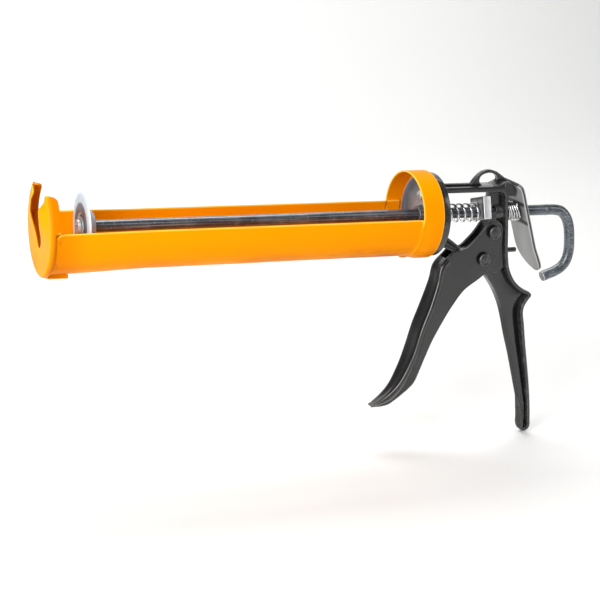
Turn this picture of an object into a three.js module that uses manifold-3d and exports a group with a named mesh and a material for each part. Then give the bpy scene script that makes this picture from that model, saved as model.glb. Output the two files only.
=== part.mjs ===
// Caulking gun for 300 ml cartridges, in millimetres.
// +X runs back along the push rod, from the yoke to the hook, and +Z is up.
// The origin lies on the rod's axis at the back face of the frame casting, over the hand.
import * as THREE from 'three';
import { mergeVertices } from 'three/addons/utils/BufferGeometryUtils.js';
import Module from 'manifold-3d';

const wasm = await Module();
wasm.setup();

// Fits shared by the pieces
const seatGap = 0.3;
const runningGap = 0.4;
const castLap = 0.3;
const overrun = 2;

// Facets of round pieces, counts
const ringFacets = 48;
const boltFacets = 16;
const rodFacets = 16;
const pinHeadFacets = 20;

// Push rod with its hook and its crimped stop
const rodRadius = 3.5;
const rodTail = 38;
const rodNose = 278.8;
const hookReach = 16.2;
const hookDrop = 46.2;
const hookSteps = 24;
const crimpPlace = 32;
const crimpWidth = 2.4;
const crimpHeight = 3.9;
const crimpThickness = 2;

// Frame casting: flange, top bar with the hang lug, rear wall, strut, pivot block and handle
const frameLength = 59;
const flangeThickness = 3.9;
const flangeStep = 1.2;
const flangeDraft = 0.6;
const frameHalfWidth = 7;
const railBottom = 14.7;
const railHeight = 3.4;
const barTop = 19.5;
const webHalfThickness = 2;
const lugHalfThickness = 1.7;
const lugStart = 26.9;
const lugLength = 27.5;
const lugHeight = 8.6;
const hangHolePlace = 14.9;
const hangHoleHeight = 21.3;
const hangHoleHalfLength = 6.3;
const hangHoleHalfHeight = 4.2;
const wallThickness = 2;
const wallLean = Math.tan(THREE.MathUtils.degToRad(6.9));
const blockBottom = 11.4;
const blockTop = 21;
const blockShoulder = 17.4;
const blockCrest = -1.2;
const blockBack = 3.6;
const blockHeel = 4.4;
const rodBossRadius = 5.6;
const rodBossLength = 7.4;
const pivotBlockHalfWidth = 4.5;
const strutEndBehind = 31.45;
const strutFall = 26.9;

// Handle below the frame, a T section
const gripReach = 36.1;
const gripDrop = 155;
const gripFlangeThickness = 2.3;
const gripFlangeHalfWidth = 8;
const gripTipHalfWidth = 4.4;
const gripWebHalfThickness = 3;

// Trigger, a channel that pivots on the lower pin
const pivotBehind = 14.1;
const pivotDrop = 30.1;
const pusherPinBehind = 8.5;
const pusherPinDrop = 12.4;
const triggerReach = 78;
const triggerDrop = 118;
const triggerHalfWidth = 6.9;
const triggerSwellHalfWidth = 8.2;
const triggerTipHalfWidth = 3.8;
const triggerTipDrop = 129.6;
const triggerWall = 1.9;
const triggerFrontWall = 2.4;
const triggerBevel = 0.5;
const triggerLobeRadius = 7.4;
const pinRadius = 3;
const pinHeadRadius = 4.45;
const pinHeadThickness = 1.4;

// Pusher fork on the upper pin, with a horn on each side of the rod
const forkRadius = 4.9;
const forkHalfWidth = 4.7;
const hornInner = 3.9;
const hornOuter = 6.4;
const hornNoseRadius = 2.5;
const hornNoseHeight = 11.9;
const forkFloorHeight = 8.3;
const forkBossClearance = 0.9;

// Drive plate, turned a little about the rod
const drivePlateThickness = 5.3;
const drivePlateHalfWidth = 8.8;
const drivePlateAbove = 9.8;
const drivePlateBelow = 5.1;
const drivePlateTurn = THREE.MathUtils.degToRad(-18.25);
const drivePlateBack = 13.9;

// Springs round the rod
const mainSpringRadius = 5.6;
const mainSpringWire = 1.5;
const mainSpringCurls = 6.5;
const brakeSpringRadius = 5.7;
const brakeSpringWire = 1.2;
const brakeSpringCurls = 3.5;
const curlSteps = 8;
const wireSides = 5;

// Release lever behind the frame
const leverFront = 10.2;
const leverSlope = 0.35;
const leverThickness = 2.6;
const leverHalfWidth = 12;
const leverTop = 17.8;
const leverTipDrop = 40.5;
const leverTipLength = 13.8;
const leverRodSlotHalfLength = 6.2;
const leverRodSlotHalfWidth = 4.4;
const lipTop = 20.5;
const lipFront = 1.2;
const lipCrest = 4.2;
const lipUnderside = 19.8;
const stopPinRadius = 1.6;
const stopPinDrop = 26.3;
const stopPinReach = 12.4;

// Cartridge bay: front yoke, cradle and rear collar, each sized from the one before
const bayLength = 234.8;
const yokeRadius = 28.6;
const yokeWall = 1.2;
const yokeRimDepth = 3.6;
const yokeRimStep = 2.7;
const yokeFlangeDepth = 13.5;
const yokeEarDepth = 7;
const yokeEarRounding = 4.5;
const yokeTabStep = 1;
const yokeTabDepth = 15.5;
const yokeTabHalfWidth = 10;
const yokeFlare = 3.2;
const cradleTaper = 1.5;
const cradleRearStep = 0.9;
const cradleMouthLength = 58;
const cradleRearFlare = 9;
const cradleWall = 0.9;
const cradleEdgeHeight = 3.1;
const cradleLap = 8;
const cradleStart = 4;
const collarLength = 11.6;
const collarWall = 1;
const collarLipWidth = 5.4;

// Rear plate that closes the bay, with its screws and the rod bush
const plateThickness = 1.4;
const plateRimWidth = 4.1;
const plateDishDepth = 1.3;
const plateScrewCount = 4;
const plateScrewCircle = 12.1;
const plateScrewTurn = THREE.MathUtils.degToRad(77.6);
const plateScrewRadius = 1.9;
const plateScrewHeadRadius = 3.1;
const plateScrewHeadThickness = 1.3;
const plateScrewBite = 3;
const bushRadius = 5.5;
const bushChamfer = 0.3;
const bushReach = 3;
const bushBore = 3.9;

// Piston on the rod's nose
const pistonCradleGap = 4.9;
const pistonThickness = 1.2;
const pistonCurl = 1;
const pistonDimpleRadius = 7.4;
const pistonDimpleDepth = 0.8;
const pistonCupRadius = 13.4;
const pistonCupRearRadius = 8;
const pistonCupLength = 5.6;
const pistonCupWall = 1.2;
const pistonCupLipWidth = 2.4;
const pistonScrewRadius = 1.9;
const pistonScrewHeadRadius = 4.2;
const pistonScrewHeadThickness = 2.1;
const pistonScrewBite = 8;
const pistonWasherRadius = 5.8;
const pistonWasherThickness = 0.9;

// Radii of the bay's pieces, from the yoke inwards and back to the frame
const yokeFlangeRadius = yokeRadius - yokeRimStep;
const yokeTabRadius = yokeRadius + yokeTabStep;
const cradleMouthRadius = yokeFlangeRadius + runningGap + cradleWall;
const cradleRadius = cradleMouthRadius - cradleTaper;
const cradleRearRadius = cradleRadius + cradleRearStep;
const collarRadius = cradleRearRadius + runningGap + collarWall;
const collarLipRadius = collarRadius - collarLipWidth;
const plateRadius = cradleRearRadius - cradleWall - seatGap;
const plateDishRadius = plateRadius - plateRimWidth;
const flangeRadius = collarRadius - flangeStep;
const flangeRearRadius = flangeRadius - flangeDraft;
const pistonRadius = cradleRadius - cradleWall - pistonCradleGap;

// Places along the rod that follow from the sizes above
const flangeFace = -frameLength;
const flangeBack = flangeFace + flangeThickness;
const strutRoot = flangeBack - flangeThickness / 2;
const strutReach = -strutRoot - strutEndBehind;
const collarBack = flangeFace - seatGap;
const collarFace = collarBack - collarLength;
const yokeFace = collarFace - bayLength;
const wallAt = (z) => -wallLean * z;
const stopPinRoot = wallAt(-stopPinDrop) - wallThickness;
const leverAt = (z) => leverFront - leverSlope * z;

// Paints and metals as the photo shows them
const finishes = {
  yellowPaint: { color: 0xffa400, roughness: 0.32, metalness: 0 },
  blackCasting: { color: 0x262627, roughness: 0.45, metalness: 0.1 },
  zincSteel: { color: 0xc2c4c4, roughness: 0.35, metalness: 0.9 },
  rodSteel: { color: 0x5f6062, roughness: 0.3, metalness: 0.95 },
  springSteel: { color: 0xb8babc, roughness: 0.25, metalness: 1 },
  leverSteel: { color: 0x8e9092, roughness: 0.35, metalness: 0.95 },
};

const gun = new THREE.Group();

// Adds one named piece to the gun in the given finish
function addPiece(name, shape, finish) {
  const material = new THREE.MeshStandardMaterial(finishes[finish]);
  const geometry = shape instanceof THREE.BufferGeometry ? shape : toGeometry(shape);
  const piece = new THREE.Mesh(geometry, material);
  piece.name = name;
  gun.add(piece);
}

// A closed geometry as a solid that can be joined and cut
function toSolid(geometry) {
  const bare = new THREE.BufferGeometry();
  bare.setAttribute('position', geometry.getAttribute('position'));
  if (geometry.index) bare.setIndex(geometry.index);
  const merged = mergeVertices(bare, 1e-4);
  const mesh = new wasm.Mesh({
    numProp: 3,
    vertProperties: new Float32Array(merged.getAttribute('position').array),
    triVerts: new Uint32Array(merged.index.array),
  });
  return new wasm.Manifold(mesh);
}

// A solid back as a geometry
function toGeometry(solid) {
  const mesh = solid.getMesh();
  const geometry = new THREE.BufferGeometry();
  geometry.setAttribute('position', new THREE.BufferAttribute(mesh.vertProperties, 3));
  geometry.setIndex(new THREE.BufferAttribute(mesh.triVerts, 1));
  geometry.computeVertexNormals();
  return geometry;
}

const join = (first, ...others) => others.reduce((whole, other) => whole.add(other), first);
const cut = (first, ...others) => others.reduce((whole, other) => whole.subtract(other), first);

// An outline in X and Z, as points, carried sideways from one Y to another
function sideProfile(points, nearY, farY, bevel = 0) {
  const shape = points instanceof THREE.Shape ? points : new THREE.Shape(points);
  const geometry = new THREE.ExtrudeGeometry(shape, {
    depth: farY - nearY - 2 * bevel,
    steps: 1,
    curveSegments: boltFacets,
    bevelEnabled: bevel > 0,
    bevelThickness: bevel,
    bevelSize: bevel,
    bevelOffset: -bevel,
    bevelSegments: 2,
  });
  geometry.rotateX(Math.PI / 2);
  geometry.translate(0, farY - bevel, 0);
  return toSolid(geometry);
}

// An outline in Y and Z carried along the rod from one X to another
function frontProfile(points, startX, endX) {
  const shape = points instanceof THREE.Shape ? points : new THREE.Shape(points);
  const geometry = new THREE.ExtrudeGeometry(shape, {
    depth: endX - startX,
    steps: 1,
    curveSegments: boltFacets,
    bevelEnabled: false,
  });
  geometry.rotateX(Math.PI / 2);
  geometry.rotateZ(Math.PI / 2);
  geometry.translate(startX, 0, 0);
  return toSolid(geometry);
}

// A block between two corners
function block(low, high) {
  const size = high.map((value, axis) => value - low[axis]);
  const geometry = new THREE.BoxGeometry(...size);
  geometry.translate(...high.map((value, axis) => (value + low[axis]) / 2));
  return toSolid(geometry);
}

// A profile of [radius, x] points turned round the rod's axis
function turned(profile, facets = ringFacets) {
  const points = profile.map(([radius, x]) => new THREE.Vector2(radius, x));
  const geometry = new THREE.LatheGeometry(points, facets);
  geometry.rotateZ(-Math.PI / 2);
  return toSolid(geometry);
}

// A round bar along the rod's axis direction
function barAlongX(radius, startX, endX, y = 0, z = 0, facets = boltFacets) {
  const geometry = new THREE.CylinderGeometry(radius, radius, endX - startX, facets);
  geometry.rotateZ(-Math.PI / 2);
  geometry.translate((startX + endX) / 2, y, z);
  return toSolid(geometry);
}

// A round bar across the gun
function barAlongY(radius, startY, endY, x, z, facets = boltFacets) {
  const geometry = new THREE.CylinderGeometry(radius, radius, endY - startY, facets);
  geometry.translate(x, (startY + endY) / 2, z);
  return toSolid(geometry);
}

// Points from shares of a reach and a height, counted from a corner of the piece
function fromShares(shares, x, z, reach, height) {
  return shares.map(([along, up]) => new THREE.Vector2(x + along * reach, z + up * height));
}

// Frame casting
const lugShares = [
  [0, 0], [0.083, 0.37], [0.203, 0.744], [0.33, 0.953], [0.478, 1],
  [0.634, 0.884], [0.743, 0.69], [0.888, 0.384], [1, 0.12],
];
const gripBackShares = [
  [0.075, 0.157], [0.119, 0.211], [0.166, 0.247], [0.294, 0.296], [0.485, 0.334], [0.634, 0.35],
  [0.687, 0.366], [0.629, 0.386], [0.56, 0.414], [0.546, 0.443], [0.59, 0.492], [0.69, 0.592],
  [0.814, 0.706], [0.917, 0.808], [0.995, 0.9], [1.02, 0.95], [1, 0.98], [0.94, 0.993],
];
const gripFrontShares = [
  [0.885, 0.985], [0.855, 0.955], [0.85, 0.917], [0.74, 0.839], [0.615, 0.748], [0.474, 0.646],
  [0.338, 0.557], [0.219, 0.47], [0.114, 0.408], [-0.033, 0.346], [-0.219, 0.287],
];
const strutShares = [
  [0, 0.595], [0.5225, 0.807], [0.785, 0.9145], [1, 1], [1, 0.814],
  [0.66, 0.584], [0.374, 0.416], [0.076, 0.264], [0, 0.26],
];
const pivotBlockShares = [
  [-0.66, 0.25], [-0.83, 0.213], [-0.9, 0.168], [-0.83, 0.155], [-0.75, 0.152],
  [-0.6, 0.142], [-0.49, 0.126], [-0.25, 0.122], [-0.06, 0.125], [0.03, 0.14],
];

function hangLug() {
  const base = railBottom + railHeight / 2;
  const crest = fromShares(lugShares, -lugStart, barTop, lugLength, lugHeight);
  const points = [
    new THREE.Vector2(flangeBack - castLap, base),
    new THREE.Vector2(wallAt(base) - wallThickness / 2, base),
    new THREE.Vector2(blockCrest, barTop),
    ...crest.reverse(),
    new THREE.Vector2(flangeBack - castLap, barTop),
  ];
  const shape = new THREE.Shape(points);
  const hole = new THREE.Path();
  hole.absellipse(
    -hangHolePlace, hangHoleHeight, hangHoleHalfLength, hangHoleHalfHeight, 0, 2 * Math.PI, true,
  );
  shape.holes.push(hole);
  return sideProfile(shape, -lugHalfThickness, lugHalfThickness);
}

function rearWall() {
  const bottom = -gripDrop * gripBackShares[1][1];
  const points = [
    new THREE.Vector2(wallAt(bottom) - wallThickness, bottom),
    new THREE.Vector2(wallAt(bottom), bottom),
    new THREE.Vector2(wallAt(blockBottom), blockBottom),
    new THREE.Vector2(blockHeel, blockBottom),
    new THREE.Vector2(blockBack, blockShoulder),
    new THREE.Vector2(blockCrest, blockTop),
    new THREE.Vector2(wallAt(blockTop) - wallThickness, blockTop),
  ];
  return sideProfile(points, -frameHalfWidth, frameHalfWidth);
}

function upperWeb() {
  const front = -drivePlateBack + seatGap;
  const points = [
    new THREE.Vector2(front, 0),
    new THREE.Vector2(-wallThickness / 2, 0),
    new THREE.Vector2(wallAt(railBottom) - wallThickness / 2, railBottom + railHeight / 2),
    new THREE.Vector2(front, railBottom + railHeight / 2),
  ];
  return sideProfile(points, -webHalfThickness, webHalfThickness);
}

function strutAndPivotBlock() {
  const strut = sideProfile(
    fromShares(strutShares, strutRoot, 0, strutReach, -strutFall),
    -pivotBlockHalfWidth, pivotBlockHalfWidth,
  );
  const blockPoints = [
    ...fromShares(pivotBlockShares, 0, 0, gripReach, -gripDrop),
    ...fromShares(gripBackShares.slice(1, 4), 0, 0, gripReach, -gripDrop),
    ...fromShares(gripFrontShares.slice(-2), 0, 0, gripReach, -gripDrop),
  ];
  const pivotBlock = sideProfile(
    blockPoints.reverse(), -pivotBlockHalfWidth, pivotBlockHalfWidth,
  );
  return join(strut, pivotBlock);
}

function handle() {
  const back = fromShares(gripBackShares, 0, 0, gripReach, -gripDrop);
  const front = fromShares(gripFrontShares, 0, 0, gripReach, -gripDrop);
  const web = sideProfile([...back, ...front].reverse(), -gripWebHalfThickness, gripWebHalfThickness);
  const inner = back.map((point, index) => {
    const before = back[Math.max(index - 1, 0)];
    const after = back[Math.min(index + 1, back.length - 1)];
    const along = after.clone().sub(before).normalize();
    return new THREE.Vector2(along.y, -along.x).multiplyScalar(gripFlangeThickness).add(point);
  });
  const flange = sideProfile(
    [...back, ...inner.reverse()].reverse(), -gripFlangeHalfWidth, gripFlangeHalfWidth,
  );
  const neckDrop = gripDrop * gripBackShares[4][1];
  const swellDrop = gripDrop * gripBackShares[10][1];
  const tipStart = gripDrop - gripTipHalfWidth;
  const outline = new THREE.Shape();
  outline.moveTo(-frameHalfWidth, overrun);
  outline.lineTo(-frameHalfWidth, -neckDrop);
  outline.lineTo(-gripFlangeHalfWidth, -swellDrop);
  outline.lineTo(-gripTipHalfWidth, -tipStart);
  outline.absarc(0, -tipStart, gripTipHalfWidth, Math.PI, 2 * Math.PI, false);
  outline.lineTo(gripFlangeHalfWidth, -swellDrop);
  outline.lineTo(frameHalfWidth, -neckDrop);
  outline.lineTo(frameHalfWidth, overrun);
  const trim = frontProfile(outline, -frameLength, gripReach + overrun);
  return join(web, flange).intersect(trim);
}

function frameCasting() {
  const flange = turned([
    [0, flangeFace], [flangeRadius, flangeFace],
    [flangeRearRadius, flangeBack], [0, flangeBack],
  ]);
  const rail = block(
    [flangeBack - castLap, -frameHalfWidth, railBottom],
    [wallAt(railBottom) - wallThickness / 2, frameHalfWidth, railBottom + railHeight],
  );
  const boss = barAlongX(rodBossRadius, -wallThickness / 2 - rodBossLength, -wallThickness / 2);
  const whole = join(
    flange, rail, hangLug(), rearWall(), upperWeb(), boss, strutAndPivotBlock(), handle(),
  );
  const rodBore = barAlongX(
    rodRadius + runningGap, flangeBack, wallThickness + overrun, 0, 0, rodFacets,
  );
  const bushBoreTool = barAlongX(
    bushRadius + seatGap, flangeFace - overrun, flangeBack + overrun, 0, 0, ringFacets / 2,
  );
  const pinBore = barAlongY(
    pinRadius + seatGap, -frameHalfWidth - overrun, frameHalfWidth + overrun,
    -pivotBehind, -pivotDrop,
  );
  const stopPinBore = barAlongX(
    stopPinRadius + seatGap, stopPinRoot - seatGap, stopPinReach + overrun, 0, -stopPinDrop,
  );
  return cut(whole, rodBore, bushBoreTool, pinBore, stopPinBore, ...plateScrewBores());
}

// Rear plate, its screws and the bush
const screwPlaces = Array.from({ length: plateScrewCount }, (_, index) => {
  const turn = plateScrewTurn + (index * 2 * Math.PI) / plateScrewCount;
  return [plateScrewCircle * Math.cos(turn), plateScrewCircle * Math.sin(turn)];
});
const dishFace = flangeFace - seatGap - plateThickness;
const plateFace = dishFace - plateDishDepth;

const plateScrewEnd = flangeFace + plateScrewBite;

function plateScrewBores() {
  const deep = plateScrewEnd + seatGap;
  return screwPlaces.map(([y, z]) => barAlongX(
    plateScrewRadius + seatGap, plateFace - overrun, deep, y, z,
  ));
}

function rearPlate() {
  const dishOuter = plateDishRadius + plateThickness / 2;
  const plate = turned([
    [0, dishFace], [plateDishRadius, dishFace], [plateDishRadius, plateFace],
    [plateRadius, plateFace], [plateRadius, plateFace + plateThickness],
    [dishOuter, plateFace + plateThickness], [dishOuter, dishFace + plateThickness],
    [0, dishFace + plateThickness],
  ]);
  const bore = barAlongX(
    bushRadius + seatGap, plateFace - overrun, flangeFace + overrun, 0, 0, ringFacets / 2,
  );
  return cut(plate, bore, ...plateScrewBores());
}

const recessWidthShare = 0.17;
const recessReachShare = 0.62;

// The cross recess in a screw's head, as two blocks that reach out past its face
function crossRecess(face, depth, headRadius, y = 0, z = 0) {
  const halfWidth = headRadius * recessWidthShare;
  const reach = headRadius * recessReachShare;
  return [[reach, halfWidth], [halfWidth, reach]].map(([halfY, halfZ]) => block(
    [face - overrun, y - halfY, z - halfZ],
    [face + depth, y + halfY, z + halfZ],
  ));
}

function plateScrew([y, z]) {
  const headBack = dishFace - seatGap;
  const headFace = headBack - plateScrewHeadThickness;
  const middle = (headFace + headBack) / 2;
  const head = barAlongX(plateScrewHeadRadius, headFace, headBack, y, z);
  const shank = barAlongX(plateScrewRadius, middle, plateScrewEnd, y, z);
  const recess = crossRecess(headFace, plateScrewHeadThickness / 2, plateScrewHeadRadius, y, z);
  return cut(join(head, shank), ...recess);
}

function rodBush() {
  const start = dishFace - bushReach;
  return turned([
    [bushBore, start], [bushRadius - bushChamfer, start], [bushRadius, start + bushChamfer],
    [bushRadius, flangeBack], [bushBore, flangeBack], [bushBore, start],
  ], ringFacets / 2);
}

// Rear collar, cradle and yoke
function rearCollar() {
  const inner = collarRadius - collarWall;
  return turned([
    [inner, collarFace], [collarRadius, collarFace], [collarRadius, collarBack],
    [collarLipRadius, collarBack], [collarLipRadius, collarBack - collarWall],
    [inner, collarBack - collarWall], [inner, collarFace],
  ]);
}

function cradle() {
  const start = yokeFace + cradleStart;
  const end = collarFace + cradleLap;
  const outer = [
    [cradleMouthRadius, start], [cradleRadius, start + cradleMouthLength],
    [cradleRadius, end - cradleRearFlare], [cradleRearRadius, collarFace], [cradleRearRadius, end],
  ];
  const inner = outer.map(([radius, x]) => [radius - cradleWall, x]).reverse();
  const shell = turned([...outer, ...inner, outer[0]]);
  const open = block(
    [start - overrun, -cradleMouthRadius - overrun, cradleEdgeHeight],
    [end + overrun, cradleMouthRadius + overrun, cradleMouthRadius + overrun],
  );
  return cut(shell, open);
}

const slotShares = [
  [0, -0.413], [0.12, -0.365], [0.196, -0.245], [0.262, -0.105], [0.329, 0.08], [0.39, 0.245],
  [0.37, 0.335], [0.343, 0.413], [0.378, 0.507], [0.448, 0.63], [0.53, 0.75], [0.62, 0.81],
  [0.7, 1.1],
];

const yokeFaceShare = 0.9;
const yokeShoulderShare = 0.965;
const yokeBendShare = 0.7;
const yokeEarTopShare = 0.811;
const yokeEarGapShare = 0.53;

function frontYoke() {
  const rimBack = yokeFace + yokeRimDepth;
  const bend = yokeFace + yokeRimDepth * yokeBendShare;
  const flangeInner = yokeFlangeRadius - yokeWall;
  const rings = 7;
  const flatRadius = yokeRadius * yokeFaceShare;
  const faceRadii = Array.from({ length: rings }, (_, ring) => (flatRadius * ring) / (rings - 1));
  const cup = turned([
    ...faceRadii.map((radius) => [radius, yokeFace]),
    [yokeRadius * yokeShoulderShare, yokeFace + yokeWall / 2],
    [yokeRadius, bend], [yokeRadius, rimBack],
    [yokeFlangeRadius, rimBack + seatGap], [yokeFlangeRadius, yokeFace + yokeFlangeDepth],
    [flangeInner, yokeFace + yokeFlangeDepth], [flangeInner, bend],
    ...faceRadii.map((radius) => [radius, yokeFace + yokeWall]).reverse(),
  ]);
  const tabBand = turned([
    [yokeFlangeRadius, yokeFace + yokeRimDepth / 2], [yokeTabRadius, yokeFace + yokeRimDepth],
    [yokeTabRadius, yokeFace + yokeTabDepth], [yokeRadius, yokeFace + yokeTabDepth],
    [yokeRadius, rimBack], [yokeFlangeRadius, rimBack],
    [yokeFlangeRadius, yokeFace + yokeRimDepth / 2],
  ]);
  const tabKeep = block(
    [yokeFace, -yokeTabHalfWidth, -yokeTabRadius - overrun],
    [yokeFace + yokeTabDepth + overrun, yokeTabHalfWidth, 0],
  );
  const slotPoints = slotShares.map(
    ([side, up]) => new THREE.Vector2(side * yokeRadius, up * yokeRadius),
  );
  const mirrored = slotPoints.slice(1).reverse().map((point) => new THREE.Vector2(-point.x, point.y));
  const slot = frontProfile(
    [...slotPoints, ...mirrored].reverse(), yokeFace - overrun, yokeFace + yokeRimDepth,
  );
  const behindEars = block(
    [yokeFace + yokeEarDepth, -yokeRadius - overrun, cradleEdgeHeight],
    [yokeFace + yokeFlangeDepth + overrun, yokeRadius + overrun, yokeRadius + overrun],
  );
  const earHalfGap = yokeRadius * yokeEarGapShare;
  const earGap = block(
    [yokeFace + yokeWall, -earHalfGap, 0],
    [yokeFace + yokeFlangeDepth + overrun, earHalfGap, yokeRadius + overrun],
  );
  const earBack = yokeFace + yokeEarDepth;
  const earTop = yokeRadius * yokeEarTopShare;
  const corner = aroundPin(
    earBack - yokeEarRounding, earTop - yokeEarRounding, yokeEarRounding, 0, 90, 5,
  );
  const aboveEars = sideProfile([
    ...corner,
    new THREE.Vector2(yokeFace - yokeFlare - overrun, earTop),
    new THREE.Vector2(yokeFace - yokeFlare - overrun, yokeRadius + overrun),
    new THREE.Vector2(earBack + overrun, yokeRadius + overrun),
    new THREE.Vector2(earBack + overrun, earTop - yokeEarRounding),
  ].reverse(), -yokeRadius - overrun, yokeRadius + overrun);
  const solid = cut(join(cup, tabBand.intersect(tabKeep)), slot, behindEars, earGap, aboveEars);
  return pressedForward(toGeometry(solid));
}

// The yoke's face leans forward round the upper part of its slot
const flareHeightShare = 0.333;
const flareReachShares = [0.4, 0.9];

function pressedForward(geometry) {
  const places = geometry.getAttribute('position');
  for (let index = 0; index < places.count; index += 1) {
    const reach = Math.hypot(places.getY(index), places.getZ(index)) / yokeRadius;
    const height = places.getZ(index) / yokeRadius;
    const rise = THREE.MathUtils.smoothstep(height, -flareHeightShare, flareHeightShare);
    const inward = 1 - THREE.MathUtils.smoothstep(reach, ...flareReachShares);
    places.setX(index, places.getX(index) - yokeFlare * rise * inward);
  }
  return geometry;
}

// Push rod, one round bar from the piston to the hook
const hookShares = [
  [0, 0], [0.37, 0.028], [0.654, 0.12], [0.84, 0.249], [0.944, 0.42],
  [1, 0.606], [0.938, 0.758], [0.741, 0.861], [0.43, 0.926], [0.12, 0.966], [-0.167, 1],
];

class RodPath extends THREE.Curve {
  constructor(straight, hook, steps) {
    super();
    this.straight = straight;
    this.hook = hook;
    this.steps = steps;
  }

  onPiece(share, method) {
    const step = share * this.steps;
    if (step <= 1) return this.straight[method](step);
    return this.hook[method]((step - 1) / (this.steps - 1));
  }

  getPointAt(share) {
    return this.onPiece(share, 'getPointAt');
  }

  getTangentAt(share) {
    return this.onPiece(share, 'getTangentAt');
  }
}

function pushRod() {
  const hookPoints = hookShares.map(
    ([along, down]) => new THREE.Vector3(rodTail + along * hookReach, 0, -down * hookDrop),
  );
  const leadIn = new THREE.Vector3(rodTail - rodRadius, 0, 0);
  const path = new RodPath(
    new THREE.LineCurve3(new THREE.Vector3(-rodNose, 0, 0), leadIn),
    new THREE.CatmullRomCurve3([leadIn, ...hookPoints]),
    hookSteps + 1,
  );
  const section = new THREE.Shape();
  section.absarc(0, 0, rodRadius, 0, 2 * Math.PI, false);
  const bar = toSolid(new THREE.ExtrudeGeometry(section, {
    steps: path.steps,
    curveSegments: rodFacets / 2,
    extrudePath: path,
  }));
  const crimp = block(
    [crimpPlace - crimpWidth / 2, -crimpThickness / 2, -crimpHeight],
    [crimpPlace + crimpWidth / 2, crimpThickness / 2, crimpHeight],
  );
  const screwHole = barAlongX(
    pistonScrewRadius + seatGap, -rodNose - overrun, pistonScrewEnd + seatGap,
  );
  return cut(join(bar, crimp), screwHole);
}

// Piston: screw, washer, disc and the cup that backs it, in order from the front
const discFace = -rodNose - seatGap - pistonThickness - pistonDimpleDepth;
const cupFace = discFace + pistonThickness + seatGap;
const washerFace = discFace + pistonDimpleDepth - seatGap - pistonWasherThickness;
const pistonScrewEnd = -rodNose + pistonScrewBite;
const screwDomeShares = [[0, 0], [0.6, 0.15], [1, 0.6]];

function pistonDisc() {
  const floor = discFace + pistonDimpleDepth;
  return turned([
    [pistonScrewRadius + seatGap, floor], [pistonDimpleRadius, floor],
    [pistonDimpleRadius + pistonDimpleDepth, discFace], [pistonRadius - pistonCurl, discFace],
    [pistonRadius, discFace + pistonCurl / 2], [pistonRadius, discFace + pistonThickness],
    [pistonDimpleRadius + pistonThickness, discFace + pistonThickness],
    [pistonDimpleRadius, floor + pistonThickness],
    [pistonScrewRadius + seatGap, floor + pistonThickness],
    [pistonScrewRadius + seatGap, floor],
  ]);
}

function pistonCup() {
  const back = cupFace + pistonCupLength;
  return turned([
    [rodRadius + seatGap, back - pistonCupWall], [pistonCupRearRadius - pistonCupWall, back - pistonCupWall],
    [pistonCupRadius - pistonCupLipWidth, cupFace], [pistonCupRadius, cupFace],
    [pistonCupRearRadius, back], [rodRadius + seatGap, back],
    [rodRadius + seatGap, back - pistonCupWall],
  ], ringFacets / 2);
}

function pistonWasher() {
  return turned([
    [pistonScrewRadius + seatGap, washerFace], [pistonWasherRadius, washerFace],
    [pistonWasherRadius, washerFace + pistonWasherThickness],
    [pistonScrewRadius + seatGap, washerFace + pistonWasherThickness],
    [pistonScrewRadius + seatGap, washerFace],
  ], ringFacets / 2);
}

function pistonScrew() {
  const headBack = washerFace - seatGap;
  const headFace = headBack - pistonScrewHeadThickness;
  const dome = screwDomeShares.map(
    ([wide, deep]) => [wide * pistonScrewHeadRadius, headFace + deep * pistonScrewHeadThickness],
  );
  const screw = turned([
    ...dome, [pistonScrewHeadRadius, headBack], [pistonScrewRadius, headBack],
    [pistonScrewRadius, pistonScrewEnd], [0, pistonScrewEnd],
  ], boltFacets);
  return cut(screw, ...crossRecess(headFace, pistonScrewHeadThickness / 2, pistonScrewHeadRadius));
}

// Drive plate: a square block turned about the rod
function drivePlate() {
  const front = -drivePlateBack - drivePlateThickness;
  const plateGeometry = new THREE.BoxGeometry(
    drivePlateThickness, 2 * drivePlateHalfWidth, drivePlateAbove + drivePlateBelow,
  );
  plateGeometry.translate(
    (front - drivePlateBack) / 2, 0, (drivePlateAbove - drivePlateBelow) / 2,
  );
  plateGeometry.rotateX(drivePlateTurn);
  const bore = barAlongX(
    rodRadius + runningGap, front - overrun, -drivePlateBack + overrun, 0, 0, rodFacets,
  );
  return cut(toSolid(plateGeometry), bore);
}

// Trigger, pins and pusher fork
const triggerFrontShares = [
  [-0.305, 0.039], [-0.4, -0.036], [-0.426, -0.131], [-0.475, -0.255], [-0.538, -0.382],
  [-0.584, -0.509], [-0.634, -0.612], [-0.699, -0.703], [-0.771, -0.764], [-0.868, -0.815],
  [-0.906, -0.828],
];
const triggerBackShares = [
  [-0.894, -0.841], [-0.819, -0.841], [-0.762, -0.833], [-0.712, -0.814], [-0.608, -0.755],
  [-0.544, -0.706],
  [-0.506, -0.637], [-0.466, -0.55], [-0.409, -0.451], [-0.309, -0.32], [-0.228, -0.233],
  [-0.147, -0.169], [-0.024, -0.114], [0, -0.1], [0.037, -0.081], [0.072, -0.055],
  [0.105, -0.027], [0.138, 0.01], [0.162, 0.051], [0.17, 0.097],
];
const triggerCrestShares = [
  [-0.002, 0.19], [-0.034, 0.158], [-0.067, 0.13], [-0.11, 0.099], [-0.163, 0.067],
  [-0.223, 0.053], [-0.291, 0.049],
];

const triggerWidthShares = [
  [0.842, 0.05], [1, 0.26], [1, 0.53], [0.85, 0.67], [0.62, 0.77], [0.463, 0.81],
];
const wallTopShare = 0.4;
const solidTipPoints = 4;

function aroundPin(pinX, pinZ, radius, fromDegrees, toDegrees, steps) {
  return Array.from({ length: steps + 1 }, (_, step) => {
    const turn = THREE.MathUtils.degToRad(fromDegrees + ((toDegrees - fromDegrees) * step) / steps);
    return new THREE.Vector2(pinX + radius * Math.cos(turn), pinZ + radius * Math.sin(turn));
  });
}

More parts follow.
